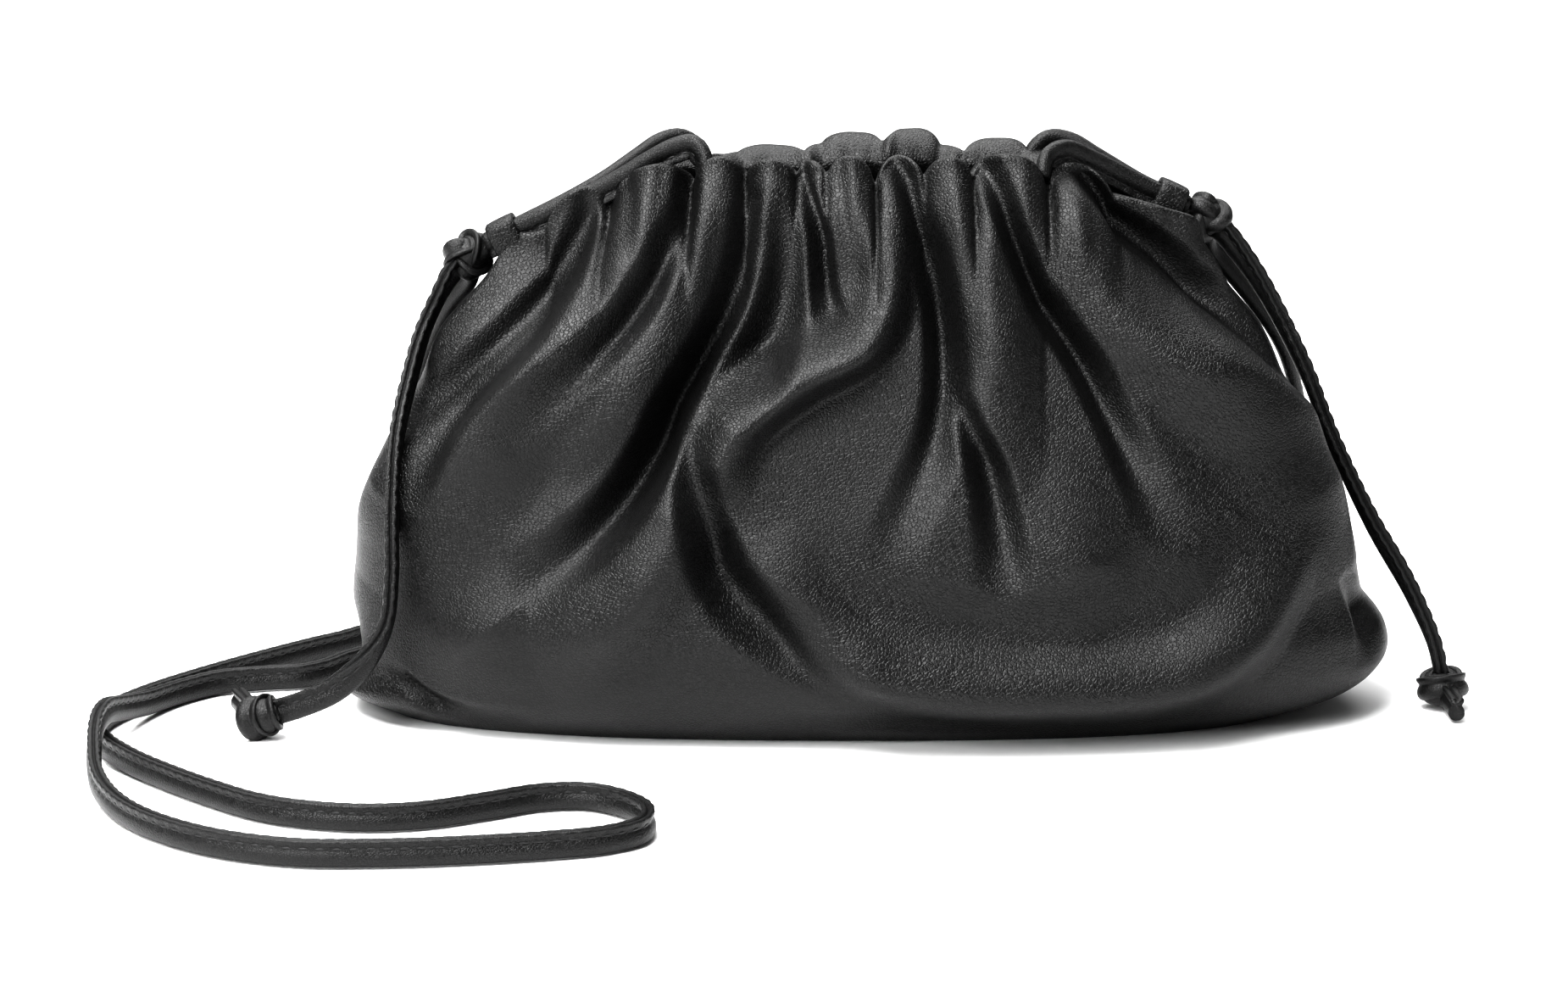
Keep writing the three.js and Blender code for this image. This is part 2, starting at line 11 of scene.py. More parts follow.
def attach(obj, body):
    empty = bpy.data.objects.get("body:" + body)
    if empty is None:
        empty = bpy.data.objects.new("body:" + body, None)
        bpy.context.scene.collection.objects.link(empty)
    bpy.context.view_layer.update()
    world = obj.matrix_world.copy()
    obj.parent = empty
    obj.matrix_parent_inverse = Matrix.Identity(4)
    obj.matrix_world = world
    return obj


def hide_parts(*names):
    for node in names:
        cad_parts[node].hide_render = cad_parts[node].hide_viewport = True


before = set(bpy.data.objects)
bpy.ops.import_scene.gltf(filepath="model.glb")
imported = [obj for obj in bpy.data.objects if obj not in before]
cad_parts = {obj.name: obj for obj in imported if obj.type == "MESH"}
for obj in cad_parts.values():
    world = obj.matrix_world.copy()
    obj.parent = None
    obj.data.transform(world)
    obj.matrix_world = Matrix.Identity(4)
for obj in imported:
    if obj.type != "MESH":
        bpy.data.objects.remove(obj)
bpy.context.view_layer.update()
scene = bpy.context.scene
MM = 0.001


# Camera
# The photograph looks slightly down at the pouch from about a metre in front of it.
CAMERA_AT = (-0.021, -1.013, 0.271)
CAMERA_DOWN = 12.07
LENS_MM = 89.67
SENSOR_MM = 36.0

camera_data = bpy.data.cameras.new("photo_camera")
camera_data.lens = LENS_MM
camera_data.sensor_width = SENSOR_MM
camera = bpy.data.objects.new("photo_camera", camera_data)
camera.location = CAMERA_AT
camera.rotation_euler = (math.radians(90 - CAMERA_DOWN), 0, 0)
scene.collection.objects.link(camera)
scene.camera = camera


# Strip cords
# Every cord is one strip of thin black leather, folded lengthwise and sewn shut near its open
# edge. It is limp, and where it lies on the floor it stands on its fold with the open edge up.
CORD_WIDTH = 6.6
CORD_STEP = 1.3
FLOOR_GAP = 0.4
CROSSING_GAP = 0.2
ON_FLOOR = CORD_WIDTH / 2 + FLOOR_GAP
CROSSING = ON_FLOOR + CORD_WIDTH + CROSSING_GAP

# One side of the strip's section, 3.8 mm thick in all, from the fold to the middle of the open
# edge: across its width, then out from its middle, in mm
STRIP_SIDE = (
    (-3.3, 0.0), (-3.18, 0.8), (-2.75, 1.38), (-2.0, 1.78), (-1.1, 1.9), (-0.2, 1.78), (0.5, 1.5),
    (1.0, 1.22), (1.3, 1.14), (1.7, 1.3), (2.2, 1.55), (2.8, 1.64), (3.2, 1.5), (3.3, 1.1),
    (3.26, 0.6), (3.0, 0.25), (2.6, 0.08),
)
SEAM_ACROSS = 1.3
SEAM_OUT = 1.0
STITCH_EVERY = 3
PUCKER = 0.2

# How sharply a strip turns from lying on its fold to hanging flat, over how many points, and the
# steps of the curve between two points of a route
TURN_SHARPNESS = 4
TURN_POINTS = 9
ROUTE_STEPS = 24

# Routes in mm, the same as the solids' but for gentler slopes where the strap crosses itself and
# for the back strands, which start deeper in the hem
ROUTES = {
    "drawcord_left_front": [
        (-41.5, -11, 142.3), (-41.9, -9.5, 146.8), (-44.5, -8, 149.8), (-49, -7, 148.8),
        (-55, -6, 145.6), (-63, -5, 140.6), (-71, -4, 136.2), (-79.5, -3, 132.3),
        (-86.5, -2.4, 128.9), (-93.5, -2.05, 125.4), (-98.5, -2.05, 122.9),
    ],
    "drawcord_left_back": [
        (-43.2, 10.6, 143.4), (-45, 10.8, 147.2), (-48.5, 10, 149.3), (-53, 9, 148.4),
        (-58.5, 8, 144.8), (-66.5, 6, 139.4),
        (-73.5, 4.5, 135.4), (-80.5, 3.2, 131.8), (-86.5, 2.4, 128.9), (-93.5, 2.05, 125.4),
        (-98.5, 2.05, 122.9),
    ],
    "drawcord_right_front": [
        (46, -10.5, 141.9), (47.2, -8, 146.4), (52, -4, 148), (57, -1.5, 145.8), (64.5, 1, 141.9),
        (72.5, 2.6, 137.6), (79.7, 2.95, 134.2), (84.5, 2.95, 132),
    ],
    "drawcord_right_back": [
        (44.2, 10.6, 142.8), (45.8, 11.4, 146.4), (49, 12, 148.8), (54, 11.5, 148.2),
        (60, 10, 144.8), (66.5, 8.6, 141),
        (72.5, 7.4, 137.6), (79.7, 7.05, 134.2), (84.5, 7.05, 132),
    ],
    "tie_left": [
        (-105, -1.5, 119.5), (-108.5, -1.5, 114.8), (-114.8, -3.5, 102.6), (-118.6, -14, 89),
        (-121, -26, 75.5), (-121.5, -35.5, 59), (-121.5, -40, 43), (-123, -42, 31),
        (-128, -43, 22), (-136, -43, 14.5), (-145, -41.5, 10), (-153, -39.2, 7),
    ],
    "tie_right": [
        (92, 4, 128.5), (96.8, 3.5, 123), (105, 2.5, 111.5), (116, 0, 91), (124, -2, 71.5),
        (134.5, -4, 50), (145, -6, 32), (151.5, -7.5, 18), (153.8, -8, 9),
    ],
    "strap": [
        (-103, 2.5, 119.5), (-103.5, 6.5, 114.5), (-109, 12.5, 107.5), (-115, 20, 96),
        (-120.5, 30, 80), (-125, 42, 60), (-129, 52, 40), (-131, 58, 22), (-133, 60, 10.5),
        (-136.5, 57.5, 5), (-143, 51, ON_FLOOR), (-152, 41, ON_FLOOR), (-166, 24, ON_FLOOR),
        (-180, 5, ON_FLOOR), (-190.5, -12, ON_FLOOR), (-197, -28, ON_FLOOR), (-198, -42, ON_FLOOR),
        (-193, -58, ON_FLOOR), (-184, -73, ON_FLOOR), (-172, -88, ON_FLOOR),
        (-159, -102, ON_FLOOR), (-148, -112, ON_FLOOR), (-137, -118, ON_FLOOR),
        (-122, -121.5, ON_FLOOR),
        (-107, -119.5, ON_FLOOR), (-92, -111.5, ON_FLOOR), (-80, -104.5, ON_FLOOR),
        (-69, -103.5, ON_FLOOR), (-59.5, -110, ON_FLOOR), (-53.5, -121, ON_FLOOR),
        (-54.5, -132, ON_FLOOR), (-63, -139.5, ON_FLOOR), (-75, -143.5, ON_FLOOR),
        (-94, -147.5, ON_FLOOR), (-114, -149.8, ON_FLOOR), (-133, -149.5, ON_FLOOR),
        (-152, -142.5, ON_FLOOR), (-168, -130, ON_FLOOR), (-180, -114, ON_FLOOR),
        (-188.5, -95, ON_FLOOR + 1), (-192.5, -77, ON_FLOOR + 4), (-194, -63, CROSSING),
        (-193.8, -50, CROSSING), (-192, -36, ON_FLOOR + 4), (-188.5, -20, ON_FLOOR + 1),
        (-182, -5, ON_FLOOR), (-173, 5, ON_FLOOR), (-161, 9.5, ON_FLOOR), (-152, 11.5, ON_FLOOR),
        (-146, 17, ON_FLOOR), (-141, 26, ON_FLOOR), (-132, 36, ON_FLOOR), (-117, 44.5, ON_FLOOR),
        (-95, 50.5, ON_FLOOR), (-60, 54.5, ON_FLOOR), (-20, 56.5, ON_FLOOR), (20, 57, ON_FLOOR),
        (60, 56, ON_FLOOR), (88, 55.5, ON_FLOOR), (106, 55.5, 7), (116, 54, 18), (120, 49, 34),
        (121.5, 42.5, 50), (120.5, 34.5, 67), (117, 26, 82), (112.5, 20, 94), (106, 17, 104.5),
        (98, 14.5, 114.5), (92, 12, 121.5), (90.5, 8, 127.5),
    ],
}


def spline(points, per_span=ROUTE_STEPS):
    """A smooth curve through points, with its spans timed by their length."""
    points = np.asarray(points, float)
    first = 2 * points[0] - points[1]
    last = 2 * points[-1] - points[-2]
    points = np.vstack([first, points, last])
    curve = []
    for p0, p1, p2, p3 in zip(points, points[1:], points[2:], points[3:]):
        t1 = np.linalg.norm(p1 - p0) ** 0.5
        t2 = t1 + np.linalg.norm(p2 - p1) ** 0.5
        t3 = t2 + np.linalg.norm(p3 - p2) ** 0.5
        t = np.linspace(t1, t2, per_span, endpoint=False)[:, None]
        a1 = (t1 - t) / t1 * p0 + t / t1 * p1
        a2 = (t2 - t) / (t2 - t1) * p1 + (t - t1) / (t2 - t1) * p2
        a3 = (t3 - t) / (t3 - t2) * p2 + (t - t2) / (t3 - t2) * p3
        b1 = (t2 - t) / t2 * a1 + t / t2 * a2
        b2 = (t3 - t) / (t3 - t1) * a2 + (t - t1) / (t3 - t1) * a3
        curve.append((t2 - t) / (t2 - t1) * b1 + (t - t1) / (t2 - t1) * b2)
    return np.vstack([*curve, points[-2:-1]])


def evenly(curve, step):
    """The same curve with its points one step apart."""
    lengths = np.append(0, np.cumsum(np.linalg.norm(np.diff(curve, axis=0), axis=1)))
    count = max(int(round(lengths[-1] / step)), 2)
    at = np.linspace(0, lengths[-1], count + 1)
    return np.stack([np.interp(at, lengths, curve[:, axis]) for axis in range(3)], axis=1)


def unit(vectors):
    return vectors / np.linalg.norm(vectors, axis=-1, keepdims=True)


def eased(values, width):
    """A running mean along the first axis, with the ends held."""
    half = width // 2
    padded = np.concatenate([values[:1].repeat(half, 0), values, values[-1:].repeat(half, 0)])
    kernel = np.ones(2 * half + 1) / (2 * half + 1)
    columns = [np.convolve(padded[:, axis], kernel, "valid") for axis in range(values.shape[1])]
    return np.stack(columns, axis=1)


def smooth(values):
    share = np.clip(values, 0, 1)
    return share * share * (3 - 2 * share)


def strip_frames(line, facing):
    """The tangent, the way that the open edge faces, and the way across, at each point."""
    tangent = unit(np.gradient(line, axis=0))
    steep = tangent[:, 2] ** TURN_SHARPNESS
    towards = facing["level"] * (1 - steep)[:, None] * np.array([0, 0, 1.0])
    towards = towards + facing["hanging"] * steep[:, None] * np.array([0, 1.0, 0])
    edge = towards - np.sum(towards * tangent, axis=1, keepdims=True) * tangent
    edge = unit(eased(unit(edge), TURN_POINTS))
    edge = unit(edge - np.sum(edge * tangent, axis=1, keepdims=True) * tangent)
    return tangent, edge, np.cross(tangent, edge)


def sweep(line, edge, across, section, loop=False):
    """Points and faces of a tube of one section along a line; a loop joins its own start."""
    points = (
        line[:, None, :]
        + edge[:, None, :] * section[None, :, 0, None]
        + across[:, None, :] * section[None, :, 1, None]
    )
    count, around = points.shape[:2]
    faces = []
    for ring in range(count if loop else count - 1):
        after = (ring + 1) % count
        for side in range(around):
            turn = (side + 1) % around
            low = ring * around
            high = after * around
            faces.append((low + side, low + turn, high + turn, high + side))
    if not loop:
        faces.append(tuple(reversed(range(around))))
        faces.append(tuple(range((count - 1) * around, count * around)))
    return points.reshape(-1, 3), faces


def add_mesh(name, *parts):
    """One object from parts, each a list of points in mm and a list of faces."""
    points = []
    faces = []
    for part_points, part_faces in parts:
        start = len(points)
        points.extend(map(tuple, np.asarray(part_points) * MM))
        faces.extend(tuple(start + corner for corner in face) for face in part_faces)
    mesh = bpy.data.meshes.new(name)
    mesh.from_pydata(points, [], faces)
    mesh.validate()
    mesh.polygons.foreach_set("use_smooth", [True] * len(mesh.polygons))
    piece = bpy.data.objects.new(name, mesh)
    scene.collection.objects.link(piece)
    return piece


strip_section = np.array(STRIP_SIDE + tuple((w, -t) for w, t in STRIP_SIDE[:0:-1]))
pressed_in = strip_section[:, 1] * PUCKER * smooth(strip_section[:, 0] / SEAM_ACROSS)

# The way that the open edge faces: 1 is up where the strip is level and to the back where it
# hangs, and -1 is down and to the front
FACING = {
    "drawcord": {"level": -1, "hanging": 0},
    "tie": {"level": 1, "hanging": -1},
    "strap": {"level": 1, "hanging": 1},
}
cords = {}
cord_lines = {}
for name, route in ROUTES.items():
    line = evenly(spline(route), CORD_STEP)
    tangent, edge, across = strip_frames(line, FACING[name.split("_")[0]])
    points, faces = sweep(line, edge, across, strip_section)
    rings = points.reshape(len(line), -1, 3)
    rings[::STITCH_EVERY] -= across[::STITCH_EVERY, None, :] * pressed_in[None, :, None]
    cords[name] = add_mesh(name + "_strip", (points, faces))
    cord_lines[name] = (line, tangent, edge, across)


# Grain of the leather, in mm: the sway that bends its rows, the pores on it, and the patches where
# it is stronger or weaker
SWAY_MM = 1 / 0.42
SWAY_BY_MM = 0.6
PORE_MM = 1 / 2.6
PATCH_MM = 1 / 0.038

# Shares: a pebble's rounded edge, the weakest grain, the pores' part in the relief, and how much
# the sheen varies
PEBBLE_EDGE = 0.22
WEAK_GRAIN = 0.6
PORE_RELIEF = 0.5
SHEEN_SPREAD = 0.05
SHINE = 0.29


def linear(colour):
    channels = [int(colour[i : i + 2], 16) / 255 for i in (1, 3, 5)]
    values = [c / 12.92 if c <= 0.04045 else ((c + 0.055) / 1.055) ** 2.4 for c in channels]
    return (*values, 1.0)


def node(tree, kind, feeds=(), **settings):
    """Adds a node, sets its properties and sockets, and links what feeds its sockets."""
    made = tree.nodes.new(kind)
    for key, value in settings.items():
        if hasattr(made, key):
            setattr(made, key, value)
        else:
            made.inputs[key.replace("_", " ")].default_value = value
    for socket, source in feeds:
        tree.links.new(source, made.inputs[socket])
    return made


def leather(name, colour, furrow_shade, roughness, grain_mm, relief_mm):
    """Grained leather: the darker colour between its pebbles is painted shade in the furrows, and
    relief is their height.
    """
    material = bpy.data.materials.new(name)
    material.use_nodes = True
    tree = material.node_tree
    shader = tree.nodes["Principled BSDF"]
    place = node(tree, "ShaderNodeTexCoord").outputs["Object"]
    sway = node(
        tree, "ShaderNodeTexNoise", [("Vector", place)], Scale=1 / (SWAY_MM * MM), Detail=2.0
    )
    swayed = node(tree, "ShaderNodeVectorMath", operation="MULTIPLY_ADD")
    tree.links.new(sway.outputs["Color"], swayed.inputs[0])
    swayed.inputs[1].default_value = (SWAY_BY_MM * MM,) * 3
    tree.links.new(place, swayed.inputs[2])
    pebbles = node(
        tree, "ShaderNodeTexVoronoi", [("Vector", swayed.outputs["Vector"])],
        feature="DISTANCE_TO_EDGE", Scale=1 / (grain_mm * MM),
    )
    domed = node(
        tree, "ShaderNodeMapRange", [("Value", pebbles.outputs["Distance"])],
        interpolation_type="SMOOTHSTEP",
        From_Min=0.0, From_Max=PEBBLE_EDGE, To_Min=0.0, To_Max=1.0,
    )
    soft = node(
        tree, "ShaderNodeTexNoise", [("Vector", place)], Scale=1 / (PORE_MM * MM), Detail=3.0
    )
    patches = node(
        tree, "ShaderNodeTexNoise", [("Vector", place)], Scale=1 / (PATCH_MM * MM), Detail=2.0
    )
    strong = node(
        tree, "ShaderNodeMapRange", [("Value", patches.outputs["Fac"])],
        From_Min=0.35, From_Max=0.65, To_Min=WEAK_GRAIN, To_Max=1.0,
    )
    grain = node(
        tree, "ShaderNodeMath",
        [(0, domed.outputs["Result"]), (1, strong.outputs["Result"])], operation="MULTIPLY",
    )
    height = node(
        tree, "ShaderNodeMath",
        [(0, soft.outputs["Fac"]), (2, grain.outputs["Value"])], operation="MULTIPLY_ADD",
    )
    height.inputs[1].default_value = PORE_RELIEF
    bump = node(
        tree, "ShaderNodeBump", [("Height", height.outputs["Value"])],
        Strength=1.0, Distance=relief_mm * MM,
    )
    # Painted shade: the furrows between the pebbles take the darker colour, the pebble tops the
    # lighter one.
    shaded_tone = node(tree, "ShaderNodeMix", [("Factor", domed.outputs["Result"])], data_type="RGBA")
    shaded_tone.inputs["A"].default_value = linear(furrow_shade)
    shaded_tone.inputs["B"].default_value = linear(colour)
    sheen = node(
        tree, "ShaderNodeMapRange", [("Value", patches.outputs["Fac"])],
        From_Min=0.3, From_Max=0.7,
        To_Min=roughness + SHEEN_SPREAD, To_Max=roughness - SHEEN_SPREAD,
    )
    feeds = (
        ("Base Color", shaded_tone.outputs["Result"]), ("Roughness", sheen.outputs["Result"]),
        ("Normal", bump.outputs["Normal"]),
    )
    for socket, source in feeds:
        tree.links.new(source, shader.inputs[socket])
    shader.inputs["Specular IOR Level"].default_value = SHINE
    return material


# The strips' leather is skived lamb nappa, dyed through and lightly sealed. Its pebbles, 0.7 mm
# across, are finer and flatter than the panels', so the eye sees a soft sheen along each fold.
# Its second, darker colour is painted shade in the furrows between the pebbles.
strip_leather = leather("folded_strip_leather", "#171717", "#0c0c0c", 0.42, 0.7, 0.07)


def declare_cord(name):
    """A cord's place in the model: the part of that name is hidden and the cord is attached to the
    root.
    """
    cord = cords[name]
    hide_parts(name)
    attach(cord, "root")


for name, cord in cords.items():
    cord.data.materials.append(strip_leather)
    if name.startswith("drawcord"):
        declare_cord(name)
declare_cord("strap")


# Stitches
# One row of black thread runs beside the open edge of every strip and shows on both of its faces.
STITCH_LENGTH = 2.6
THREAD_WIDTH = 0.7
THREAD_HEIGHT = 0.42
BEAD_SIDES = 10
BEAD_RINGS = 6

# Waxed polyester thread, about as black as the leather, with a dull shine on each stitch
thread = bpy.data.materials.new("waxed_black_thread")
thread.use_nodes = True
thread.node_tree.nodes["Principled BSDF"].inputs["Base Color"].default_value = linear("#101011")
thread.node_tree.nodes["Principled BSDF"].inputs["Roughness"].default_value = 0.5


def stitch_group():
    """Puts one flattened bead of thread at every point, turned by the point's own rotation."""
    tree = bpy.data.node_groups.new("stitch_row", "GeometryNodeTree")
    tree.interface.new_socket("Geometry", in_out="INPUT", socket_type="NodeSocketGeometry")
    sizes = (
        ("Stitch length", STITCH_LENGTH), ("Thread width", THREAD_WIDTH),
        ("Thread height", THREAD_HEIGHT),
    )
    for label, size in sizes:
        socket = tree.interface.new_socket(label, in_out="INPUT", socket_type="NodeSocketFloat")
        socket.default_value = size * MM
    tree.interface.new_socket("Geometry", in_out="OUTPUT", socket_type="NodeSocketGeometry")
    taken = node(tree, "NodeGroupInput")
    bead = node(
        tree, "GeometryNodeMeshUVSphere", Segments=BEAD_SIDES, Rings=BEAD_RINGS, Radius=0.5
    )
    turn = node(tree, "GeometryNodeInputNamedAttribute", data_type="FLOAT_VECTOR", Name="turn")
    size = node(tree, "ShaderNodeCombineXYZ", [
        ("X", taken.outputs["Stitch length"]), ("Y", taken.outputs["Thread width"]),
        ("Z", taken.outputs["Thread height"]),
    ])
    rotation = node(tree, "FunctionNodeEulerToRotation", [("Euler", turn.outputs["Attribute"])])
    row = node(tree, "GeometryNodeInstanceOnPoints", [
        ("Points", taken.outputs["Geometry"]), ("Instance", bead.outputs["Mesh"]),
        ("Rotation", rotation.outputs["Rotation"]), ("Scale", size.outputs["Vector"]),
    ])
    real = node(tree, "GeometryNodeRealizeInstances", [("Geometry", row.outputs["Instances"])])
    smooth_row = node(tree, "GeometryNodeSetShadeSmooth", [("Geometry", real.outputs["Geometry"])])
    dyed = node(tree, "GeometryNodeSetMaterial", [("Geometry", smooth_row.outputs["Geometry"])])
    dyed.inputs["Material"].default_value = thread
    node(tree, "NodeGroupOutput", [("Geometry", dyed.outputs["Geometry"])])
    return tree


stitch_tree = stitch_group()


def stitch_row(name, line, tangent, edge, across):
    """Stitches at an even pitch along both faces of one strip."""
    points = []
    turns = []
    for at in range(STITCH_EVERY, len(line) - STITCH_EVERY, STITCH_EVERY):
        for face in (1, -1):
            out = across[at] * face
            points.append((line[at] + edge[at] * SEAM_ACROSS + out * SEAM_OUT) * MM)
            ways = Matrix((tangent[at], np.cross(out, tangent[at]), out)).transposed()
            turns.extend(ways.to_euler())
    mesh = bpy.data.meshes.new(name + "_points")
    mesh.from_pydata([tuple(point) for point in points], [], [])
    mesh.attributes.new("turn", "FLOAT_VECTOR", "POINT").data.foreach_set("vector", turns)
    maker = bpy.data.objects.new(name + "_maker", mesh)
    scene.collection.objects.link(maker)
    maker.modifiers.new("stitches", "NODES").node_group = stitch_tree
    solved = maker.evaluated_get(bpy.context.evaluated_depsgraph_get())
    made = bpy.data.meshes.new_from_object(solved)
    bpy.data.objects.remove(maker)
    made.name = name
    stitches = bpy.data.objects.new(name, made)
    scene.collection.objects.link(stitches)
    return stitches


for name, (line, tangent, edge, across) in cord_lines.items():
    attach(stitch_row(name + "_stitches", line, tangent, edge, across), "root")


# Pouch
# Two panels of soft nappa leather, sewn at the sides and under the base. The mouth is turned in to
# a deep hem and gathered on the drawcord, which pulls long folds down and out across both panels.
BAG_WIDTH = 280.0
BAG_DEPTH = 115.0
BAG_HEIGHT = 146.0
WALL = 2.0
HEM = 5.0
HEM_DEPTH = 18.0
SEAM_GAP = 0.3

# The rim: how far it drops at the sides, rises at the back and lies below the bag's height, and how
# far its lobes swell up, out and inwards, all in mm
LEFT_DROP = 14.0
RIGHT_DROP = 10.5
BACK_RISE = 1.5
RIM_BELOW = 7.5
PUFF_HEIGHT = 7.5
PUFF_BULGE = 1.5
PUFF_INSIDE = 4.0

# The share of a fold's depth that is lost at the rim, how far the rim turns inwards and over what
# depth, the depth of the pressed shoulders, the outline's squareness seen from above, and the share
# of the half width where the rim stops being level
RIM_CALM = 0.45
RIM_CROWN = 5.0
CROWN_DEPTH = 10.0
PRESSED_DEPTH = 5.6
SQUARENESS = 2.5
LEVEL_RIM = 0.55
HALF = BAG_WIDTH / 2

# Shares of the height from which the folds calm down, the lobes swell and the rim turns inwards,
# and between which the small pleats fade in
CALM_FROM = 0.7
LOBES_FROM = 0.76
CROWN_FROM = 0.87
PLEATS_FADE = (0.72, 0.92)

# Shares of the half width between which the two panels come to lie pressed together, the share of
# the half depth over which folds fade out at the seam, and of the height over the base
PRESSED_FADE = (0.6, 0.8)
SEAM_FADE = 0.35
BASE_FADE = 0.06

# What the inner face of the hem lacks of the outer face's folds, and of its room and lobes
INNER_FOLDS_LESS = 0.3
INNER_LESS = 0.6

# How fast the wall thickens away from the seam, and the least depth in mm that a valley is given
INSET_RISE = 1.4
LEAST_ROOM = 0.3

# Horizontal sections: level, left and right half widths, half depth, as shares
SECTIONS = np.array([
    (0.0, 0.9, 0.8, 0.7),
    (0.045, 0.99, 0.93, 0.87),
    (0.1, 0.955, 0.99, 0.96),
    (0.16, 0.955, 0.99, 0.99),
    (0.22, 0.965, 0.945, 1.0),
    (0.3, 0.957, 0.925, 0.97),
    (0.4, 0.937, 0.885, 0.91),
    (0.5, 0.895, 0.825, 0.82),
    (0.6, 0.835, 0.79, 0.71),
    (0.7, 0.785, 0.745, 0.6),
    (0.8, 0.695, 0.66, 0.46),
    (0.9, 0.64, 0.6, 0.34),
    (1.0, 0.61, 0.58, 0.25),
])

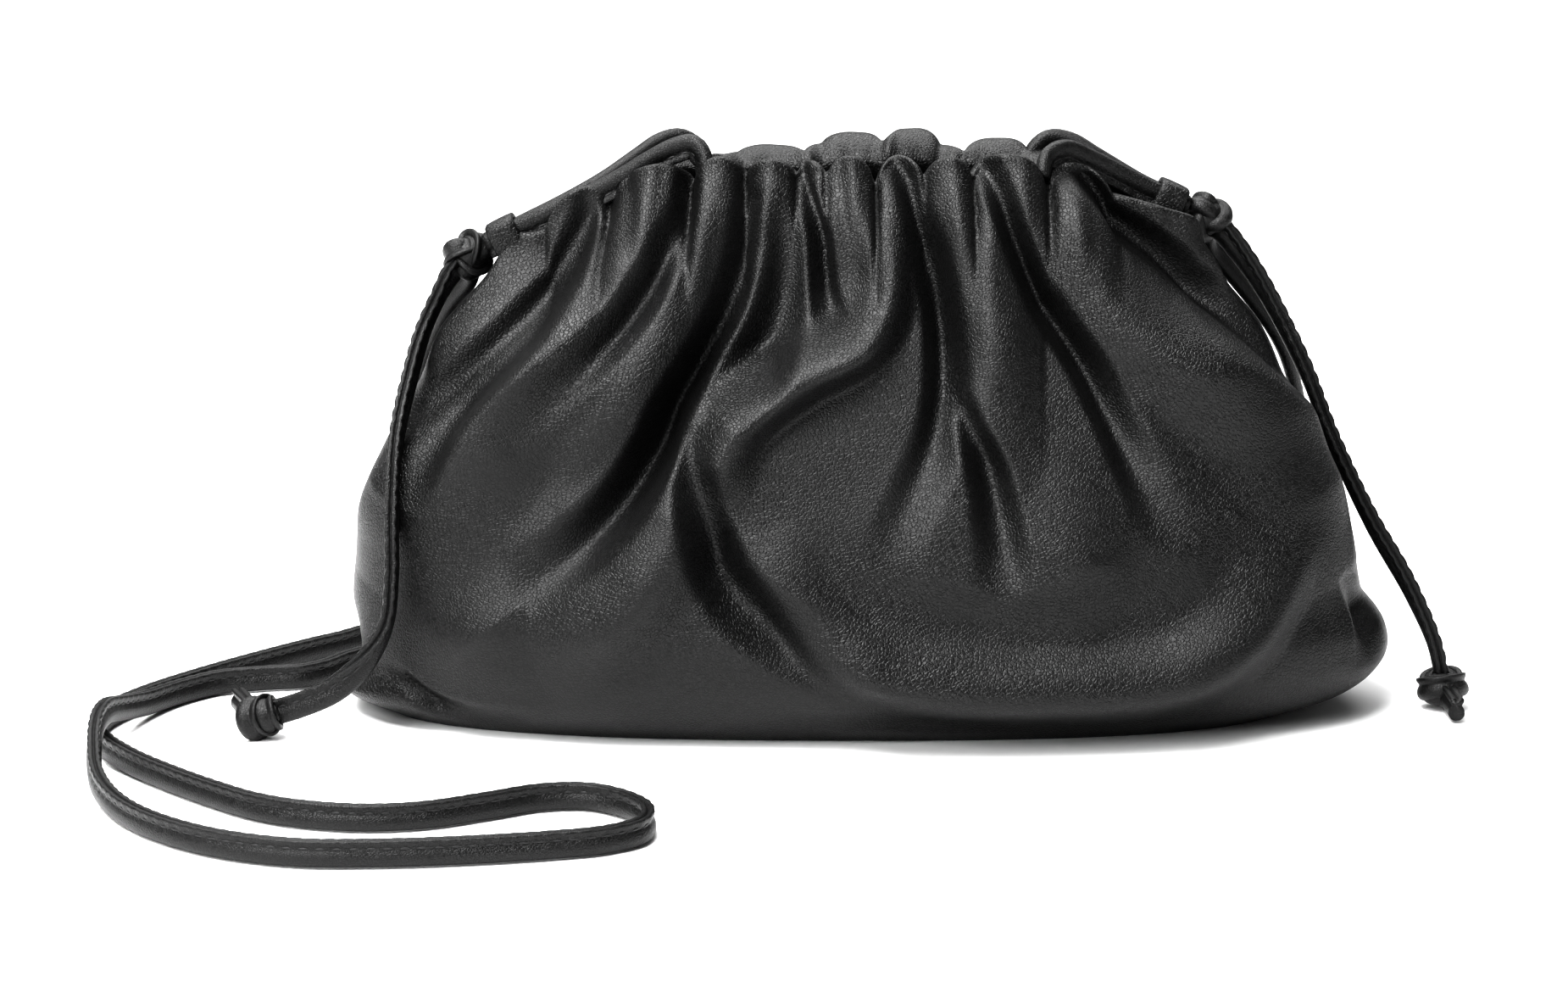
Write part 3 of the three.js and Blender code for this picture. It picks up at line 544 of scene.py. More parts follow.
# Folds of the front panel. Each path is x and z in shares of half the width and of the height,
# from its top down. rise is in mm, at even steps down the path, reach is in mm to its left and
# right as seen from the front, and sharp is 0 for a round fold and 1 for a crease.
FRONT_FOLDS = [
    {"path": [(-0.55, 0.92), (-0.66, 0.79), (-0.74, 0.7), (-0.82, 0.55)],
     "rise": (3, 5, 4, 0), "reach": (15, 12), "sharp": 0},
    {"path": [(-0.49, 0.88), (-0.53, 0.8), (-0.61, 0.71), (-0.74, 0.58), (-0.84, 0.42)],
     "rise": (0, -13, -19, -15, 0), "reach": (13, 9), "sharp": 0.4},
    {"path": [(-0.38, 0.98), (-0.43, 0.85), (-0.55, 0.73), (-0.73, 0.57), (-0.87, 0.41),
              (-0.95, 0.27)],
     "rise": (7, 13, 17, 13, 5, 0), "reach": (9, 22), "sharp": 0},
    {"path": [(-0.44, 0.98), (-0.43, 0.9), (-0.44, 0.82)],
     "rise": (-7, -7, 0), "reach": (5, 5), "sharp": 0.39},
    {"path": [(-0.32, 1.0), (-0.33, 0.9), (-0.38, 0.8), (-0.46, 0.71), (-0.56, 0.62),
              (-0.66, 0.53)],
     "rise": (-9, -9, -9, -8, -4, 0), "reach": (9, 8), "sharp": 0.33},
    {"path": [(-0.27, 1.0), (-0.29, 0.89), (-0.36, 0.75), (-0.43, 0.64), (-0.5, 0.58),
              (-0.63, 0.5)],
     "rise": (5, 7, 8, 8, 5, 0), "reach": (11, 10), "sharp": 0},
    {"path": [(-0.21, 0.9), (-0.24, 0.78), (-0.35, 0.59), (-0.38, 0.52), (-0.45, 0.42),
              (-0.55, 0.33), (-0.65, 0.27)],
     "rise": (-5, -8, -16, -18, -12, -5, 0), "reach": (12, 9), "sharp": 0.36},
    {"path": [(-0.22, 1.0), (-0.22, 0.9), (-0.2, 0.8)],
     "rise": (-8, -4, 0), "reach": (5, 5), "sharp": 0.39},
    {"path": [(-0.17, 1.0), (-0.16, 0.92), (-0.16, 0.85)],
     "rise": (5, 4, 0), "reach": (7, 7), "sharp": 0},
    {"path": [(-0.15, 0.92), (-0.15, 0.78), (-0.19, 0.68), (-0.27, 0.6)],
     "rise": (0, -7, -9, 0), "reach": (13, 12), "sharp": 0},
    {"path": [(-0.12, 1.0), (-0.11, 0.92), (-0.08, 0.86), (-0.07, 0.78), (-0.05, 0.73)],
     "rise": (-9, -9, -11, -9, 0), "reach": (7, 4), "sharp": 0.52},
    {"path": [(-0.07, 1.0), (-0.07, 0.9), (-0.05, 0.8)],
     "rise": (5, 4, 0), "reach": (4, 5), "sharp": 0},
    {"path": [(-0.03, 1.0), (0.02, 0.87), (0.04, 0.79), (0.0, 0.71), (-0.12, 0.65), (-0.22, 0.58),
              (-0.26, 0.51), (-0.27, 0.44)],
     "rise": (5, 7, 9, 11, 11, 11, 8, 0), "reach": (9, 7), "sharp": 0},
    {"path": [(0.03, 1.0), (0.07, 0.92), (0.12, 0.81), (0.14, 0.69), (0.13, 0.57), (0.08, 0.45),
              (0.02, 0.33)],
     "rise": (-9, -11, -12, -12, -7, -3, 0), "reach": (8, 10), "sharp": 0.33},
    {"path": [(0.15, 0.66), (0.18, 0.58), (0.22, 0.5), (0.24, 0.41), (0.25, 0.33), (0.25, 0.24)],
     "rise": (0, -6, -9, -7, -3, 0), "reach": (11, 9), "sharp": 0.25},
    {"path": [(0.13, 1.0), (0.19, 0.86), (0.23, 0.74), (0.23, 0.6), (0.2, 0.45)],
     "rise": (5, 7, 7, 4, 0), "reach": (9, 12), "sharp": 0},
    {"path": [(0.19, 1.0), (0.29, 0.81), (0.4, 0.66), (0.46, 0.55), (0.51, 0.45), (0.57, 0.34)],
     "rise": (-11, -12, -12, -8, -3, 0), "reach": (8, 10), "sharp": 0.39},
    {"path": [(0.26, 1.0), (0.36, 0.9), (0.49, 0.79), (0.62, 0.68), (0.74, 0.58), (0.85, 0.45),
              (0.91, 0.27)],
     "rise": (5, 8, 11, 11, 9, 7, 0), "reach": (17, 8), "sharp": 0},
    {"path": [(0.33, 0.97), (0.46, 0.87), (0.59, 0.79), (0.72, 0.7), (0.8, 0.58)],
     "rise": (-9, -15, -14, -9, 0), "reach": (6, 9), "sharp": 0.39},
    {"path": [(0.39, 1.0), (0.53, 0.9), (0.68, 0.8), (0.78, 0.66), (0.84, 0.5)],
     "rise": (5, 7, 5, 4, 0), "reach": (9, 12), "sharp": 0},
    {"path": [(-0.31, 0.56), (-0.33, 0.42), (-0.4, 0.31), (-0.49, 0.23), (-0.62, 0.15)],
     "rise": (3, 8, 8, 5, 0), "reach": (15, 11), "sharp": 0},
    {"path": [(-0.32, 0.58), (-0.3, 0.42), (-0.25, 0.29), (-0.14, 0.21), (0.0, 0.15)],
     "rise": (0, -10, -11, -7, 0), "reach": (12, 15), "sharp": 0.2},
    {"path": [(-0.19, 0.4), (-0.14, 0.27), (-0.04, 0.17), (0.15, 0.11), (0.42, 0.1), (0.59, 0.13),
              (0.7, 0.2), (0.78, 0.32), (0.84, 0.42)],
     "rise": (0, 4, 8, 8, 8, 8, 6, 3, 0), "reach": (8, 13), "sharp": 0.1},
    {"path": [(-0.02, 0.3), (0.2, 0.24), (0.42, 0.24), (0.6, 0.32)],
     "rise": (0, -3, -3, 0), "reach": (17, 18), "sharp": 0},
    {"path": [(0.42, 0.5), (0.38, 0.35), (0.32, 0.2)],
     "rise": (0, 4, 0), "reach": (16, 14), "sharp": 0},
    {"path": [(-0.2, 0.06), (0.22, 0.05), (0.6, 0.06)],
     "rise": (0, -3, 0), "reach": (8, 8), "sharp": 0.13},
    {"path": [(-0.88, 0.12), (-0.8, 0.06), (-0.6, 0.03)],
     "rise": (0, -5, 0), "reach": (6, 6), "sharp": 0.2},
    {"path": [(-0.75, 0.28), (-0.7, 0.2), (-0.6, 0.12)],
     "rise": (0, 4, 0), "reach": (17, 17), "sharp": 0},
    {"path": [(0.88, 0.28), (0.93, 0.2), (0.95, 0.12)],
     "rise": (0, -4, 0), "reach": (6, 6), "sharp": 0.2},
]

# Folds of the back panel, in the same terms
BACK_FOLDS = [
    {"path": [(-0.5, 0.95), (-0.66, 0.72), (-0.8, 0.3)],
     "rise": (6, 7, 0), "reach": (12, 12), "sharp": 0},
    {"path": [(-0.34, 1.0), (-0.46, 0.7), (-0.5, 0.42), (-0.62, 0.2)],
     "rise": (6, 7, 0), "reach": (11, 12), "sharp": 0},
    {"path": [(-0.19, 1.0), (-0.22, 0.76), (-0.3, 0.5)],
     "rise": (6, 6, 0), "reach": (10, 10), "sharp": 0},
    {"path": [(-0.02, 1.0), (-0.04, 0.7), (0.06, 0.42), (0.24, 0.2)],
     "rise": (6, 7, 0), "reach": (12, 12), "sharp": 0},
    {"path": [(0.1, 1.0), (0.18, 0.76), (0.22, 0.55)],
     "rise": (5, 6, 0), "reach": (10, 10), "sharp": 0},
    {"path": [(0.26, 1.0), (0.38, 0.72), (0.44, 0.45), (0.38, 0.22)],
     "rise": (6, 7, 0), "reach": (12, 12), "sharp": 0},
    {"path": [(0.42, 0.98), (0.6, 0.72), (0.78, 0.3)],
     "rise": (6, 7, 0), "reach": (12, 12), "sharp": 0},
    {"path": [(-0.42, 0.98), (-0.56, 0.76), (-0.66, 0.5)],
     "rise": (-8, -7, 0), "reach": (9, 8), "sharp": 0.39},
    {"path": [(-0.26, 0.98), (-0.34, 0.72), (-0.36, 0.45), (-0.48, 0.25)],
     "rise": (-8, -7, 0), "reach": (8, 9), "sharp": 0.39},
    {"path": [(-0.11, 1.0), (-0.13, 0.78), (-0.17, 0.6)],
     "rise": (-8, -6, 0), "reach": (8, 8), "sharp": 0.39},
    {"path": [(0.04, 0.98), (0.08, 0.72), (0.12, 0.45)],
     "rise": (-8, -7, 0), "reach": (8, 8), "sharp": 0.39},
    {"path": [(0.17, 0.98), (0.29, 0.72), (0.31, 0.45), (0.24, 0.28)],
     "rise": (-8, -7, 0), "reach": (9, 8), "sharp": 0.39},
    {"path": [(0.34, 0.98), (0.5, 0.76), (0.6, 0.52)],
     "rise": (-7, -6, 0), "reach": (8, 8), "sharp": 0.33},
    {"path": [(-0.6, 0.25), (0, 0.16), (0.6, 0.25)],
     "rise": (0, 6, 0), "reach": (18, 18), "sharp": 0},
    {"path": [(-0.5, 0.4), (-0.1, 0.32), (0.4, 0.4)],
     "rise": (0, -4, 0), "reach": (18, 18), "sharp": 0},
]

# Lobes of the gathered rim: place and half width as shares of half the width, and rise
FRONT_LOBES = [
    (-0.53, 0.055, 1.1), (-0.4, 0.07, 1.0), (-0.27, 0.048, 1.15), (-0.175, 0.05, 1.05),
    (-0.1, 0.03, 0.95), (-0.03, 0.045, 1.2), (0.065, 0.045, 1.1), (0.154, 0.045, 1.15),
    (0.263, 0.066, 1.25), (0.4, 0.06, 1.05), (0.52, 0.09, 0.45),
]
BACK_LOBES = [
    (-0.49, 0.08, 0.7), (-0.37, 0.06, 0.9), (-0.26, 0.045, 0.65), (-0.17, 0.085, 0.9),
    (-0.088, 0.035, 0.95), (-0.02, 0.075, 1.35), (0.088, 0.066, 1.5), (0.16, 0.04, 0.9),
    (0.25, 0.07, 1.15), (0.325, 0.04, 0.8), (0.43, 0.07, 0.8),
]

# 2 makes a lobe round, and more makes its top flatter
FRONT_FLATNESS = 2
BACK_FLATNESS = 3.2

# Fineness of each panel: columns from seam to seam, rows up its outside, and so on
COLUMNS = 300
WALL_ROWS = 152
BASE_ROWS = 8
INNER_EVERY = 4
ROLL_ROWS = 10
SEAM_SAMPLES = 4001

# Folds: how soft a crease's floor is, how hard two folds that meet keep apart, and how their reach
# grows from the top of the path to its end
CREASE_SOFTNESS = 0.18
CREASE_POWER = 1.5
FOLD_MEETING = 2.5
FOLD_STEPS = 8
RIDGE_REACH = (1.05, 1.45)
VALLEY_REACH = (0.4, 1.0)

# Slack and pleats, in mm
SLACK_DEPTH = 0.55
RIPPLE_DEPTH = 0.16
PLEAT_DEPTH = 0.5


def rising(values, start, end):
    """0 below the start, 1 above the end and smooth between them."""
    return smooth((values - start) / (end - start))


def section_share(level, column):
    """A smooth curve through one column of the section table."""
    height = np.clip(level, 0, 1)
    rows = SECTIONS[:, 0]
    low = np.clip(np.searchsorted(rows, height, "right") - 1, 0, len(rows) - 2)
    before = np.maximum(low - 1, 0)
    after = np.minimum(low + 2, len(rows) - 1)
    values = SECTIONS[:, column]
    span = rows[low + 1] - rows[low]
    share = (height - rows[low]) / span
    start_slope = (values[low + 1] - values[before]) / (rows[low + 1] - rows[before])
    end_slope = (values[after] - values[low]) / (rows[after] - rows[low])
    rest = 1 - share
    ends = values[low] * (1 + 2 * share) * rest**2 + values[low + 1] * share**2 * (3 - 2 * share)
    return ends + span * (start_slope * share * rest**2 - end_slope * share**2 * rest)


def fold_push(fold, x, z):
    """How far one fold moves the leather at each place on the panel, in mm."""
    path = np.array([(px * HALF, pz * BAG_HEIGHT, 0) for px, pz in fold["path"]])
    path = spline(path, FOLD_STEPS)[:, :2]
    left, right = fold["reach"]
    low = path.min(0) - max(left, right)
    high = path.max(0) + max(left, right)
    near = (x > low[0]) & (x < high[0]) & (z > low[1]) & (z < high[1])
    places = np.stack([x[near], z[near]], axis=1)
    distance = np.full(len(places), 1e9)
    along = np.zeros(len(places))
    side = np.zeros(len(places))
    spans = len(path) - 1
    for step in range(spans):
        chord = path[step + 1] - path[step]
        offset = places - path[step]
        share = np.clip(offset @ chord / (chord @ chord), 0, 1)
        miss = offset - share[:, None] * chord
        here = np.linalg.norm(miss, axis=1)
        closer = here < distance
        distance[closer] = here[closer]
        along[closer] = (step + share[closer]) / spans
        cross = chord[0] * miss[closer, 1] - chord[1] * miss[closer, 0]
        side[closer] = cross / np.linalg.norm(chord)
    stops = np.linspace(0, 1, len(fold["rise"]))
    rise = np.interp(along, stops, np.abs(fold["rise"]))
    reach = left + (right - left) * smooth(side / (0.5 * (left + right)) + 0.5)
    narrow, wide = RIDGE_REACH if max(fold["rise"]) > 0 else VALLEY_REACH
    reach = reach * (narrow + (wide - narrow) * along)
    q = np.clip(distance / reach, 0, 1)
    round_fold = (1 - q**2) ** 2
    crease = 1 - np.sqrt(q**2 + CREASE_SOFTNESS**2) / math.hypot(1, CREASE_SOFTNESS)
    crease = crease**CREASE_POWER
    push = np.zeros_like(x)
    push[near] = rise * ((1 - fold["sharp"]) * round_fold + fold["sharp"] * crease)
    return push


def folded(folds, x, z):
    """All ridges less all valleys: where several meet, the highest or deepest one wins."""
    ridges = np.zeros_like(x)
    valleys = np.zeros_like(x)
    for fold in folds:
        push = fold_push(fold, x, z) ** FOLD_MEETING
        if max(fold["rise"]) > 0:
            ridges += push
        else:
            valleys += push
    return ridges ** (1 / FOLD_MEETING) - valleys ** (1 / FOLD_MEETING)


def slack(x, z, phase):
    """The unevenness of soft leather: waves 70 to 145 mm long with ripples 33 to 57 mm long."""
    waves = np.sin(x / 13 + 1.7 * np.sin(z / 17 + phase)) * np.cos(z / 11 + np.sin(x / 23 + phase))
    ripples = np.sin(x / 5.2 + 2.1 * np.sin(z / 9 + phase)) * np.sin(z / 6.1 + phase)
    return SLACK_DEPTH * waves + RIPPLE_DEPTH * ripples


def gather(x, z):
    """Small pleats below the drawn rim, about 7 mm apart."""
    share = rising(z / BAG_HEIGHT, *PLEATS_FADE)
    return PLEAT_DEPTH * share * np.sin(x / 1.15 + 1.3 * np.sin(x / 9) + np.sin(z / 12))


def lobe_share(lobes, x, flatness):
    """How far the rim has swollen into lobes at each x, 1 being the usual height."""
    share = np.zeros_like(x)
    for centre, half, rise in lobes:
        offset = np.clip(np.abs(x / HALF - centre) / half, 0, 1)
        share = np.maximum(share, rise * (1 - offset**flatness) ** 0.5)
    return share


def panel_turns(front):
    """Turns round the pouch, evenly spaced along one panel from seam to seam."""
    start = math.pi if front else 0
    turns = np.linspace(start, start + math.pi, SEAM_SAMPLES)
    cosine, sine = np.cos(turns), np.sin(turns)
    x = np.sign(cosine) * np.abs(cosine) ** (2 / SQUARENESS) * HALF
    y = np.sign(sine) * np.abs(sine) ** (2 / SQUARENESS) * BAG_DEPTH / 2
    length = np.append(0, np.cumsum(np.hypot(np.diff(x), np.diff(y))))
    return np.interp(np.linspace(0, length[-1], COLUMNS + 1), length, turns)


def panel_points(turns, level, inset, lift, inside, front):
    """Points on a panel: inset goes into the leather, lift goes up, and inside is 0 on the outer
    face and 1 on the inner face of the hem."""
    cosine, sine = np.cos(turns), np.sin(turns)
    along = np.sign(cosine) * np.abs(cosine) ** (2 / SQUARENESS)
    across = np.sign(sine) * np.abs(sine) ** (2 / SQUARENESS)
    across = np.minimum(across, 0) if front else np.maximum(across, 0)
    shoulder = smooth((np.abs(along) - LEVEL_RIM) / (1 - LEVEL_RIM))
    drop = np.where(along < 0, LEFT_DROP, RIGHT_DROP)
    rim = BAG_HEIGHT - RIM_BELOW + smooth(across) * BACK_RISE
    height = level * rim - shoulder * drop * level**2
    share = height / BAG_HEIGHT
    half_width = np.where(along < 0, section_share(share, 1), section_share(share, 2)) * HALF
    half_depth = section_share(share, 3) * BAG_DEPTH / 2
    normal_x = np.sign(along) * np.abs(along) ** (SQUARENESS - 1) / half_width
    normal_y = np.sign(across) * np.abs(across) ** (SQUARENESS - 1) / half_depth
    length = np.hypot(normal_x, normal_y)
    x = along * half_width
    off_seam = smooth(np.abs(across) / SEAM_FADE)
    if front:
        lobes = lobe_share(FRONT_LOBES, x, FRONT_FLATNESS)
    else:
        lobes = lobe_share(BACK_LOBES, x, BACK_FLATNESS)
    lobes = lobes * rising(level, LOBES_FROM, 1) * off_seam
    push = folded(FRONT_FOLDS if front else BACK_FOLDS, x, height)
    push = push + slack(x, height, 0 if front else 2) + gather(x, height)
    push = push * off_seam * smooth(share / BASE_FADE)
    push = push * (1 - INNER_FOLDS_LESS * inside) * (1 - RIM_CALM * rising(level, CALM_FROM, 1))
    push = push + lobes * (PUFF_BULGE * (1 - inside) - PUFF_INSIDE * inside)
    seam_side = -1 if front else 1
    pressed = rising(np.abs(along), *PRESSED_FADE) * rising(level, CALM_FROM, 1)
    depth = np.abs(across) * half_depth
    depth = depth + (np.minimum(depth, PRESSED_DEPTH) - depth) * pressed
    crown = rising(level, CROWN_FROM, 1) * np.minimum(depth / CROWN_DEPTH, 1)
    depth = depth - RIM_CROWN * crown**2
    room = np.maximum(depth - WALL, LEAST_ROOM) * (1 - INNER_LESS * inside)
    push = np.where(push < 0, room * np.tanh(push / room), push)
    depth = depth - inset * np.minimum(np.abs(across) * INSET_RISE, 1)
    y = seam_side * depth + normal_y / length * push
    y = seam_side * np.maximum(seam_side * y, SEAM_GAP / 2)
    return np.stack([
        along * (half_width - inset) + normal_x / length * push,
        y,
        height + lift + lobes * PUFF_HEIGHT * (1 - INNER_LESS * inside),
    ], axis=-1)


def panel_mesh(name, front):
    """One panel as a closed leather wall: base, outside, hem roll, inside and inner floor."""
    turns = panel_turns(front)[None, :]
    seam_y = (-1 if front else 1) * SEAM_GAP / 2

    def base(edge, rows):
        share = np.linspace(0, 1, rows + 1)[:-1, None]
        y = seam_y + (edge[None, :, 1] - seam_y) * share
        x = np.broadcast_to(edge[None, :, 0], y.shape)
        return np.stack([x, y, np.broadcast_to(edge[None, :, 2], y.shape)], axis=-1)

    def wall(levels, inset, lift, inside):
        levels = np.asarray(levels, float)[:, None]
        shape = np.broadcast_shapes(levels.shape, turns.shape)
        turns_there = np.broadcast_to(turns, shape)
        levels_there = np.broadcast_to(levels, shape)
        return panel_points(turns_there, levels_there, inset, lift, inside, front)

    levels = np.linspace(0, 1, WALL_ROWS + 1)
    outer_wall = wall(levels, 0, 0, 0)
    outer = np.concatenate([base(outer_wall[0], BASE_ROWS), outer_wall])
    roll = []
    for step in range(1, ROLL_ROWS):
        angle = step / ROLL_ROWS * math.pi
        radius = HEM / 2
        inset = radius * (1 - math.cos(angle))
        roll.append(wall([1], inset, radius * math.sin(angle), (1 - math.cos(angle)) / 2))
    hem_level = 1 - HEM_DEPTH / BAG_HEIGHT
    inner_levels = levels[::INNER_EVERY]
    inner_rows = []
    for level in inner_levels:
        in_hem = level > hem_level
        inset = HEM if in_hem else WALL
        row = wall([level], inset, WALL if level == 0 else 0, 1 if in_hem else 0)
        inner_rows.append(row)
    inner_wall = np.concatenate(inner_rows)
    inner_base = base(inner_wall[0], BASE_ROWS // INNER_EVERY)
    inner = np.concatenate([inner_base, inner_wall])[::-1]
    grid = np.concatenate([outer, *roll, inner])
    rows, columns = grid.shape[:2]
    faces = []
    for row in range(rows):
        after = (row + 1) % rows
        for column in range(columns - 1):
            here = row * columns + column
            there = after * columns + column
            faces.append((here, here + 1, there + 1, there))
    outer_count = len(outer)
    for column in (0, columns - 1):
        def index(row, column=column):
            return (row % rows) * columns + column

        caps = []
        for inner_step in range(len(inner) - 1):
            inner_low = rows - 1 - inner_step
            outer_low = inner_step * INNER_EVERY
            face = [index(outer_low + step) for step in range(INNER_EVERY + 1)]
            caps.append(face + [index(inner_low - 1), index(inner_low)])
        caps.append([index(row) for row in range(outer_count - 1, outer_count + len(roll) + 1)])
        for face in caps:
            faces.append(tuple(face) if column else tuple(reversed(face)))
    return add_mesh(name, (grid.reshape(-1, 3), faces))


front_panel = panel_mesh("front_panel_leather", True)
back_panel = panel_mesh("back_panel_leather", False)

# The panels' leather is chrome-tanned lamb nappa, dyed through and lightly sealed: a fine grain of
# pebbles 0.95 mm across under a low sheen, stronger in some patches than in others.
# The second, darker colour is painted shade in the furrows between the pebbles.
nappa = leather("nappa_panel_leather", "#141414", "#0b0b0b", 0.41, 0.95, 0.11)
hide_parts("front_panel")
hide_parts("back_panel")
for panel in (front_panel, back_panel):
    panel.data.materials.append(nappa)
    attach(panel, "root")


# Keepers
# A short sleeve of the panel leather round both strands of each drawcord. It slides on them, and
# its ends are lapped and glued underneath.
LEFT_KEEPER_AT = (-93.5, 0, 125.4)
RIGHT_KEEPER_AT = (79.7, 5, 134.2)
LEFT_KNOT_AT = (-103.5, 0, 120.4)
RIGHT_KNOT_AT = (89.8, 5, 129.6)
KEEPER_HALF_LENGTH = 4.0
KEEPER_WALL = 1.3
KEEPER_HOLE_HALF = (4.25, 3.6)
KEEPER_SIDES = 48
KEEPER_CORNER = 4.0

# The lap: its turn round the sleeve and its spread in radians, its rise, and the least wall that it
# thickens, as shares of the wall
LAP_TURN = 4.4
LAP_SPREAD = 0.16
LAP_RISE = 0.35
LAP_LEAST_WALL = 0.2


def axis_frame(at, towards):
    """The way from one point to another, level across it, and square to both."""
    forward = unit(np.asarray(towards, float) - np.asarray(at, float))
    level = unit(np.cross((0, 0, 1.0), forward))
    return forward, level, np.cross(forward, level)


def keeper(name, at, towards):
    """A squared sleeve whose hole runs towards the knot."""
    forward, level, up = axis_frame(at, towards)
    middle = np.array(at, float)
    turns = np.linspace(0, 2 * math.pi, KEEPER_SIDES, endpoint=False)
    rounded = np.stack([np.cos(turns), np.sin(turns)], axis=1)
    rounded = np.sign(rounded) * np.abs(rounded) ** (2 / KEEPER_CORNER)
    half = KEEPER_HALF_LENGTH
    # Places along the sleeve and shares of its wall, out along the outside and back inside
    profile = [
        (-half, 0.25), (-half + 0.12, 0.75), (-half + 0.45, 1.0), (-half / 2, 1.08), (0, 1.1),
        (half / 2, 1.08), (half - 0.45, 1.0), (half - 0.12, 0.75), (half, 0.25), (half - 0.2, 0.0),
        (0, -0.05), (-half + 0.2, 0.0),
    ]
    points = []
    for turn, (across, high) in zip(turns, rounded):
        lap = 1 + LAP_RISE * math.exp(-(((turn - LAP_TURN) / LAP_SPREAD) ** 2))
        for length, wall in profile:
            out = wall * KEEPER_WALL * (lap if wall > LAP_LEAST_WALL else 1)
            wide = KEEPER_HOLE_HALF[0] + out
            tall = KEEPER_HOLE_HALF[1] + out
            points.append(middle + forward * length + level * across * wide + up * high * tall)
    steps = len(profile)
    faces = []
    for side in range(KEEPER_SIDES):
        there = (side + 1) % KEEPER_SIDES
        for step in range(steps):
            after = (step + 1) % steps
            faces.append((
                side * steps + step, there * steps + step, there * steps + after,
                side * steps + after,
            ))
    return add_mesh(name + "_sleeve", (points, faces))


keepers = {
    "keeper_left": keeper("keeper_left", LEFT_KEEPER_AT, LEFT_KNOT_AT),
    "keeper_right": keeper("keeper_right", RIGHT_KEEPER_AT, RIGHT_KNOT_AT),
}
for name, piece in keepers.items():
    piece.data.materials.append(nappa)
    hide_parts(name)
    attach(piece, "root")


# Knots
# Each knot is the strip itself, pulled tight. Beside a keeper, three bights of it lie over each
# other round a small core. Near a tie's end, two leaning wraps of it go round the core, and the
# short tail of the strip lies beyond them.
KNOT_POINTS = 150
KNOT_SECTION = (0.95, 1.15)
KNOT_SIZE = (4.9, 4.3, 2.4)
KNOT_CORE = 4.8
KNOT_TURNS = {"left": 0.5, "right": 2.0}
CORE_ROWS = 10
CORE_SIDES = 16

# End knots: place, radius of the outer wrap, and how far apart the wraps lie as a share
LEFT_END_KNOT = ((-156, -38.5, 6), 3.7, 1.0)
RIGHT_END_KNOT = ((154, -8, 6), 4.7, 0.1)

# Their two wraps: how much tighter than the outer one, lean and shift along the tie, in mm
WRAPS = ((0.0, 1.3, 0.8), (0.9, -1.2, -1.7))
END_CORE_MORE = 0.2
END_CORE_MOST = 4.2
AIM_POINTS = 5
TAIL_SECTION = (0.92, 1.1)
TAILS = {
    "left": [(-157, -35.5, 5.6), (-160, -28.5, 4.8), (-163, -20, 4.2), (-165.5, -12.5, 3.8)],
    "right": [(154.2, -10, 5.4), (154.6, -14, 4.8), (155, -19, 4.2), (155.3, -24, 3.9)],
}


def overhand(at, forward, level, up, size, turn):
    """The strip along a trefoil, size being its half lengths along the three ways."""
    t = np.linspace(0, 2 * math.pi, KNOT_POINTS, endpoint=False) + turn
    loop = np.stack([
        (np.sin(t) + 2 * np.sin(2 * t)) / 3,
        (np.cos(t) - 2 * np.cos(2 * t)) / 3,
        -np.sin(3 * t),
    ], axis=1)
    loop = loop * size
    ways = np.stack([forward, level, up])
    line = np.asarray(at, float) + loop @ ways
    tangent = unit(np.roll(line, -1, axis=0) - np.roll(line, 1, axis=0))
    outward = unit(line - np.asarray(at, float))
    edge = unit(np.cross(tangent, outward))
    across = np.cross(tangent, edge)
    return sweep(line, edge, across, strip_section * KNOT_SECTION, loop=True)


def wrap(at, along, level, up, radius, lean, shift):
    """One turn of the strip round the cord, leaning to one side, its centre shifted along it."""
    t = np.linspace(0, 2 * math.pi, KNOT_POINTS, endpoint=False)[:, None]
    around = np.cos(t) * level + np.sin(t) * up
    line = np.asarray(at, float) + around * radius + along * (shift + lean * np.cos(t))
    tangent = unit(np.roll(line, -1, axis=0) - np.roll(line, 1, axis=0))
    edge = unit(np.cross(tangent, around))
    across = np.cross(tangent, edge)
    return sweep(line, edge, across, strip_section * KNOT_SECTION, loop=True)


def core(at, radius):
    """A small filler so that no daylight shows through the middle of a knot."""
    points = []
    for row in range(CORE_ROWS + 1):
        tilt = math.pi * row / CORE_ROWS
        for side in range(CORE_SIDES):
            turn = 2 * math.pi * side / CORE_SIDES
            out = math.sin(tilt)
            ray = np.array((out * math.cos(turn), out * math.sin(turn), math.cos(tilt)))
            points.append(np.asarray(at, float) + ray * radius)
    faces = []
    for row in range(CORE_ROWS):
        for side in range(CORE_SIDES):
            low = row * CORE_SIDES
            high = low + CORE_SIDES
            there = (side + 1) % CORE_SIDES
            faces.append((low + side, high + side, high + there, low + there))
    return points, faces


def tail(route):
    """The strip's free end beyond an end knot."""
    line = evenly(spline(route), CORD_STEP)
    tangent, edge, across = strip_frames(line, FACING["tie"])
    return sweep(line, edge, across, strip_section * TAIL_SECTION)


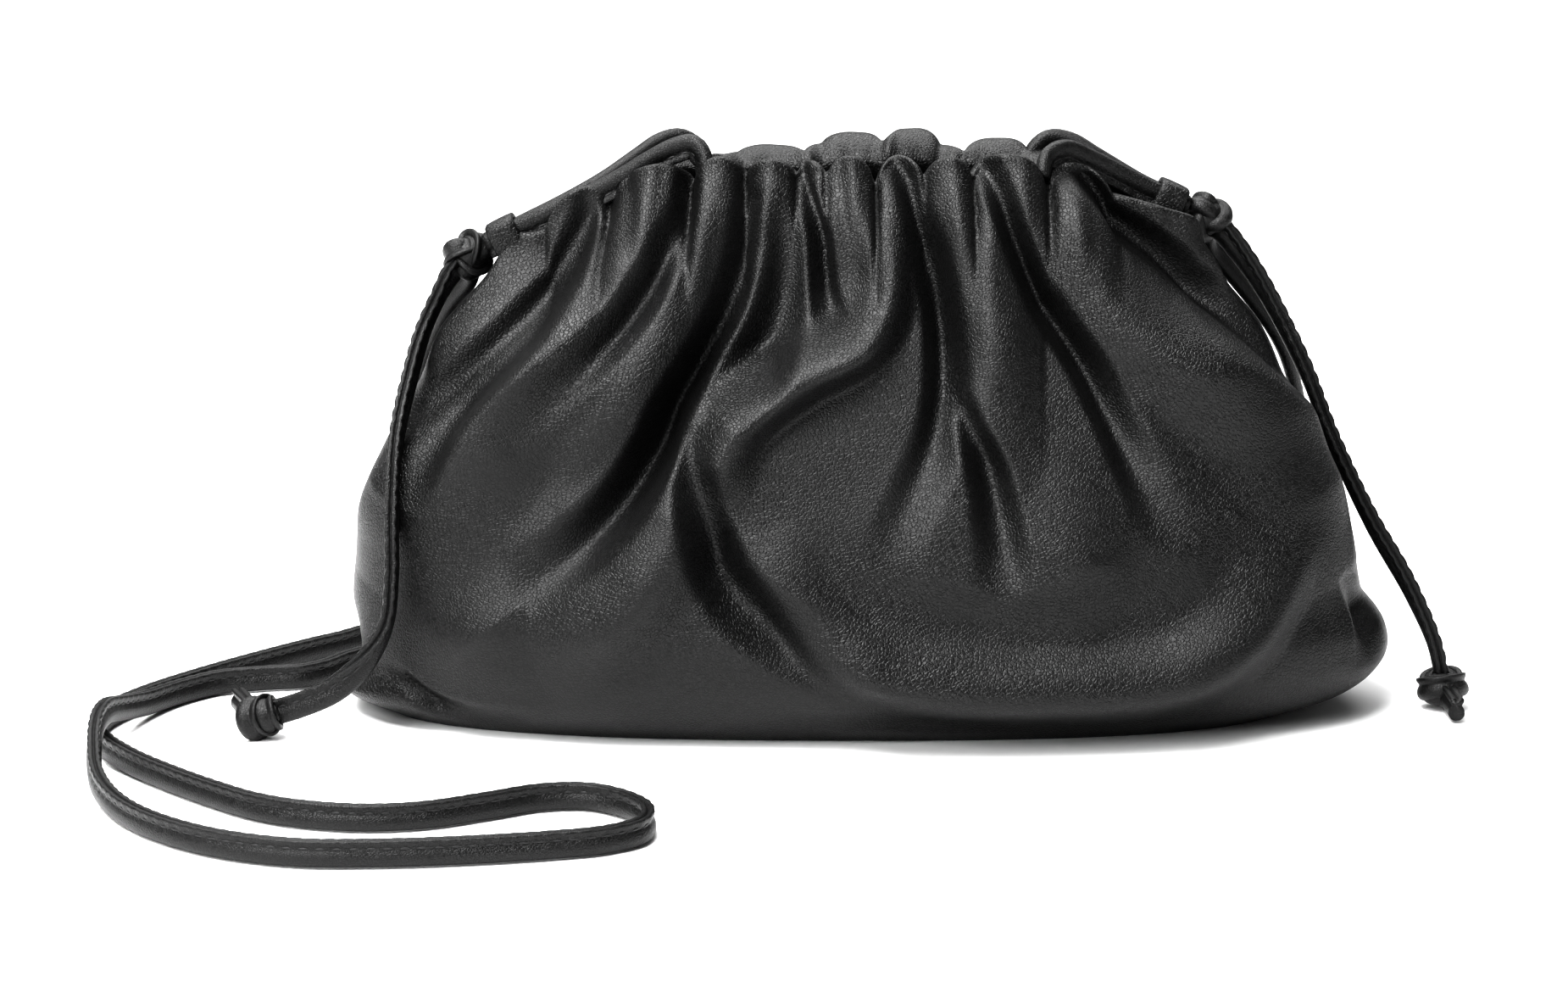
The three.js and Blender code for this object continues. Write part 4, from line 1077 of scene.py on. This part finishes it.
knots = {}
for side, at, keeper_at in (
    ("left", LEFT_KNOT_AT, LEFT_KEEPER_AT), ("right", RIGHT_KNOT_AT, RIGHT_KEEPER_AT)
):
    forward, level, up = axis_frame(keeper_at, at)
    knots["knot_" + side] = add_mesh(
        "knot_" + side + "_strip",
        overhand(at, forward, up, level, KNOT_SIZE, KNOT_TURNS[side]),
        core(at, KNOT_CORE),
    )
for side, (at, radius, spread) in (("left", LEFT_END_KNOT), ("right", RIGHT_END_KNOT)):
    along, level, up = axis_frame(cord_lines["tie_" + side][0][-AIM_POINTS], at)
    wraps = [
        wrap(at, along, level, up, radius - tighter, lean, shift * spread)
        for tighter, lean, shift in WRAPS
    ]
    knots["end_knot_" + side] = add_mesh(
        "end_knot_" + side + "_strip",
        *wraps,
        core(at, min(radius + END_CORE_MORE, END_CORE_MOST)),
        tail(TAILS[side]),
    )
for name, piece in knots.items():
    piece.data.materials.append(strip_leather)
    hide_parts(name)
    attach(piece, "root")

# Each tie ends in its knot, so it is attached once the knot is there
for side in ("left", "right"):
    declare_cord("tie_" + side)


# Studio
# A white paper floor. A large softbox hangs above and to the left, two small ones in front on the
# left draw the streaks on the folds, and a wide one behind keeps the paper white.
FLOOR_HALF = 6.0
ROOM_LIGHT = 0.22

floor_mesh = bpy.data.meshes.new("studio_floor")
corners = [(x * FLOOR_HALF, y * FLOOR_HALF, 0) for x, y in ((-1, -1), (1, -1), (1, 1), (-1, 1))]
floor_mesh.from_pydata(corners, [], [(0, 1, 2, 3)])
floor = bpy.data.objects.new("studio_floor", floor_mesh)
scene.collection.objects.link(floor)

# Matt paper: no gloss, only the soft shadow under the bag
paper = bpy.data.materials.new("white_paper_sweep")
paper.use_nodes = True
paper.node_tree.nodes["Principled BSDF"].inputs["Base Color"].default_value = linear("#f4f4f4")
paper.node_tree.nodes["Principled BSDF"].inputs["Roughness"].default_value = 0.9
floor_mesh.materials.append(paper)

world = bpy.data.worlds.new("white_room")
world.use_nodes = True
world.node_tree.nodes["Background"].inputs["Color"].default_value = (1, 1, 1, 1)
world.node_tree.nodes["Background"].inputs["Strength"].default_value = ROOM_LIGHT
scene.world = world


def add_softbox(name, at, towards, size, watts):
    light = bpy.data.lights.new(name, "AREA")
    light.shape = "RECTANGLE"
    light.size, light.size_y = size
    light.energy = watts
    lamp = bpy.data.objects.new(name, light)
    lamp.location = at
    aim = Vector(towards) - Vector(at)
    lamp.rotation_euler = aim.to_track_quat("-Z", "Y").to_euler()
    scene.collection.objects.link(lamp)


add_softbox("top_softbox", at=(-0.35, -0.35, 1.1), towards=(0, 0, 0.05), size=(1.1, 0.7), watts=36)
add_softbox("front_softbox", at=(-0.6, -1.2, 0.9), towards=(0, 0, 0.07), size=(0.6, 0.5), watts=7)
add_softbox("back_softbox", at=(0, 1.6, 1.9), towards=(0, 0.9, 0), size=(3.0, 1.5), watts=60)
add_softbox("left_softbox", at=(-0.8, -0.9, 0.55), towards=(0, 0, 0.07), size=(0.35, 0.6), watts=7)
scene.view_settings.view_transform = "Standard"
scene.view_settings.look = "High Contrast"
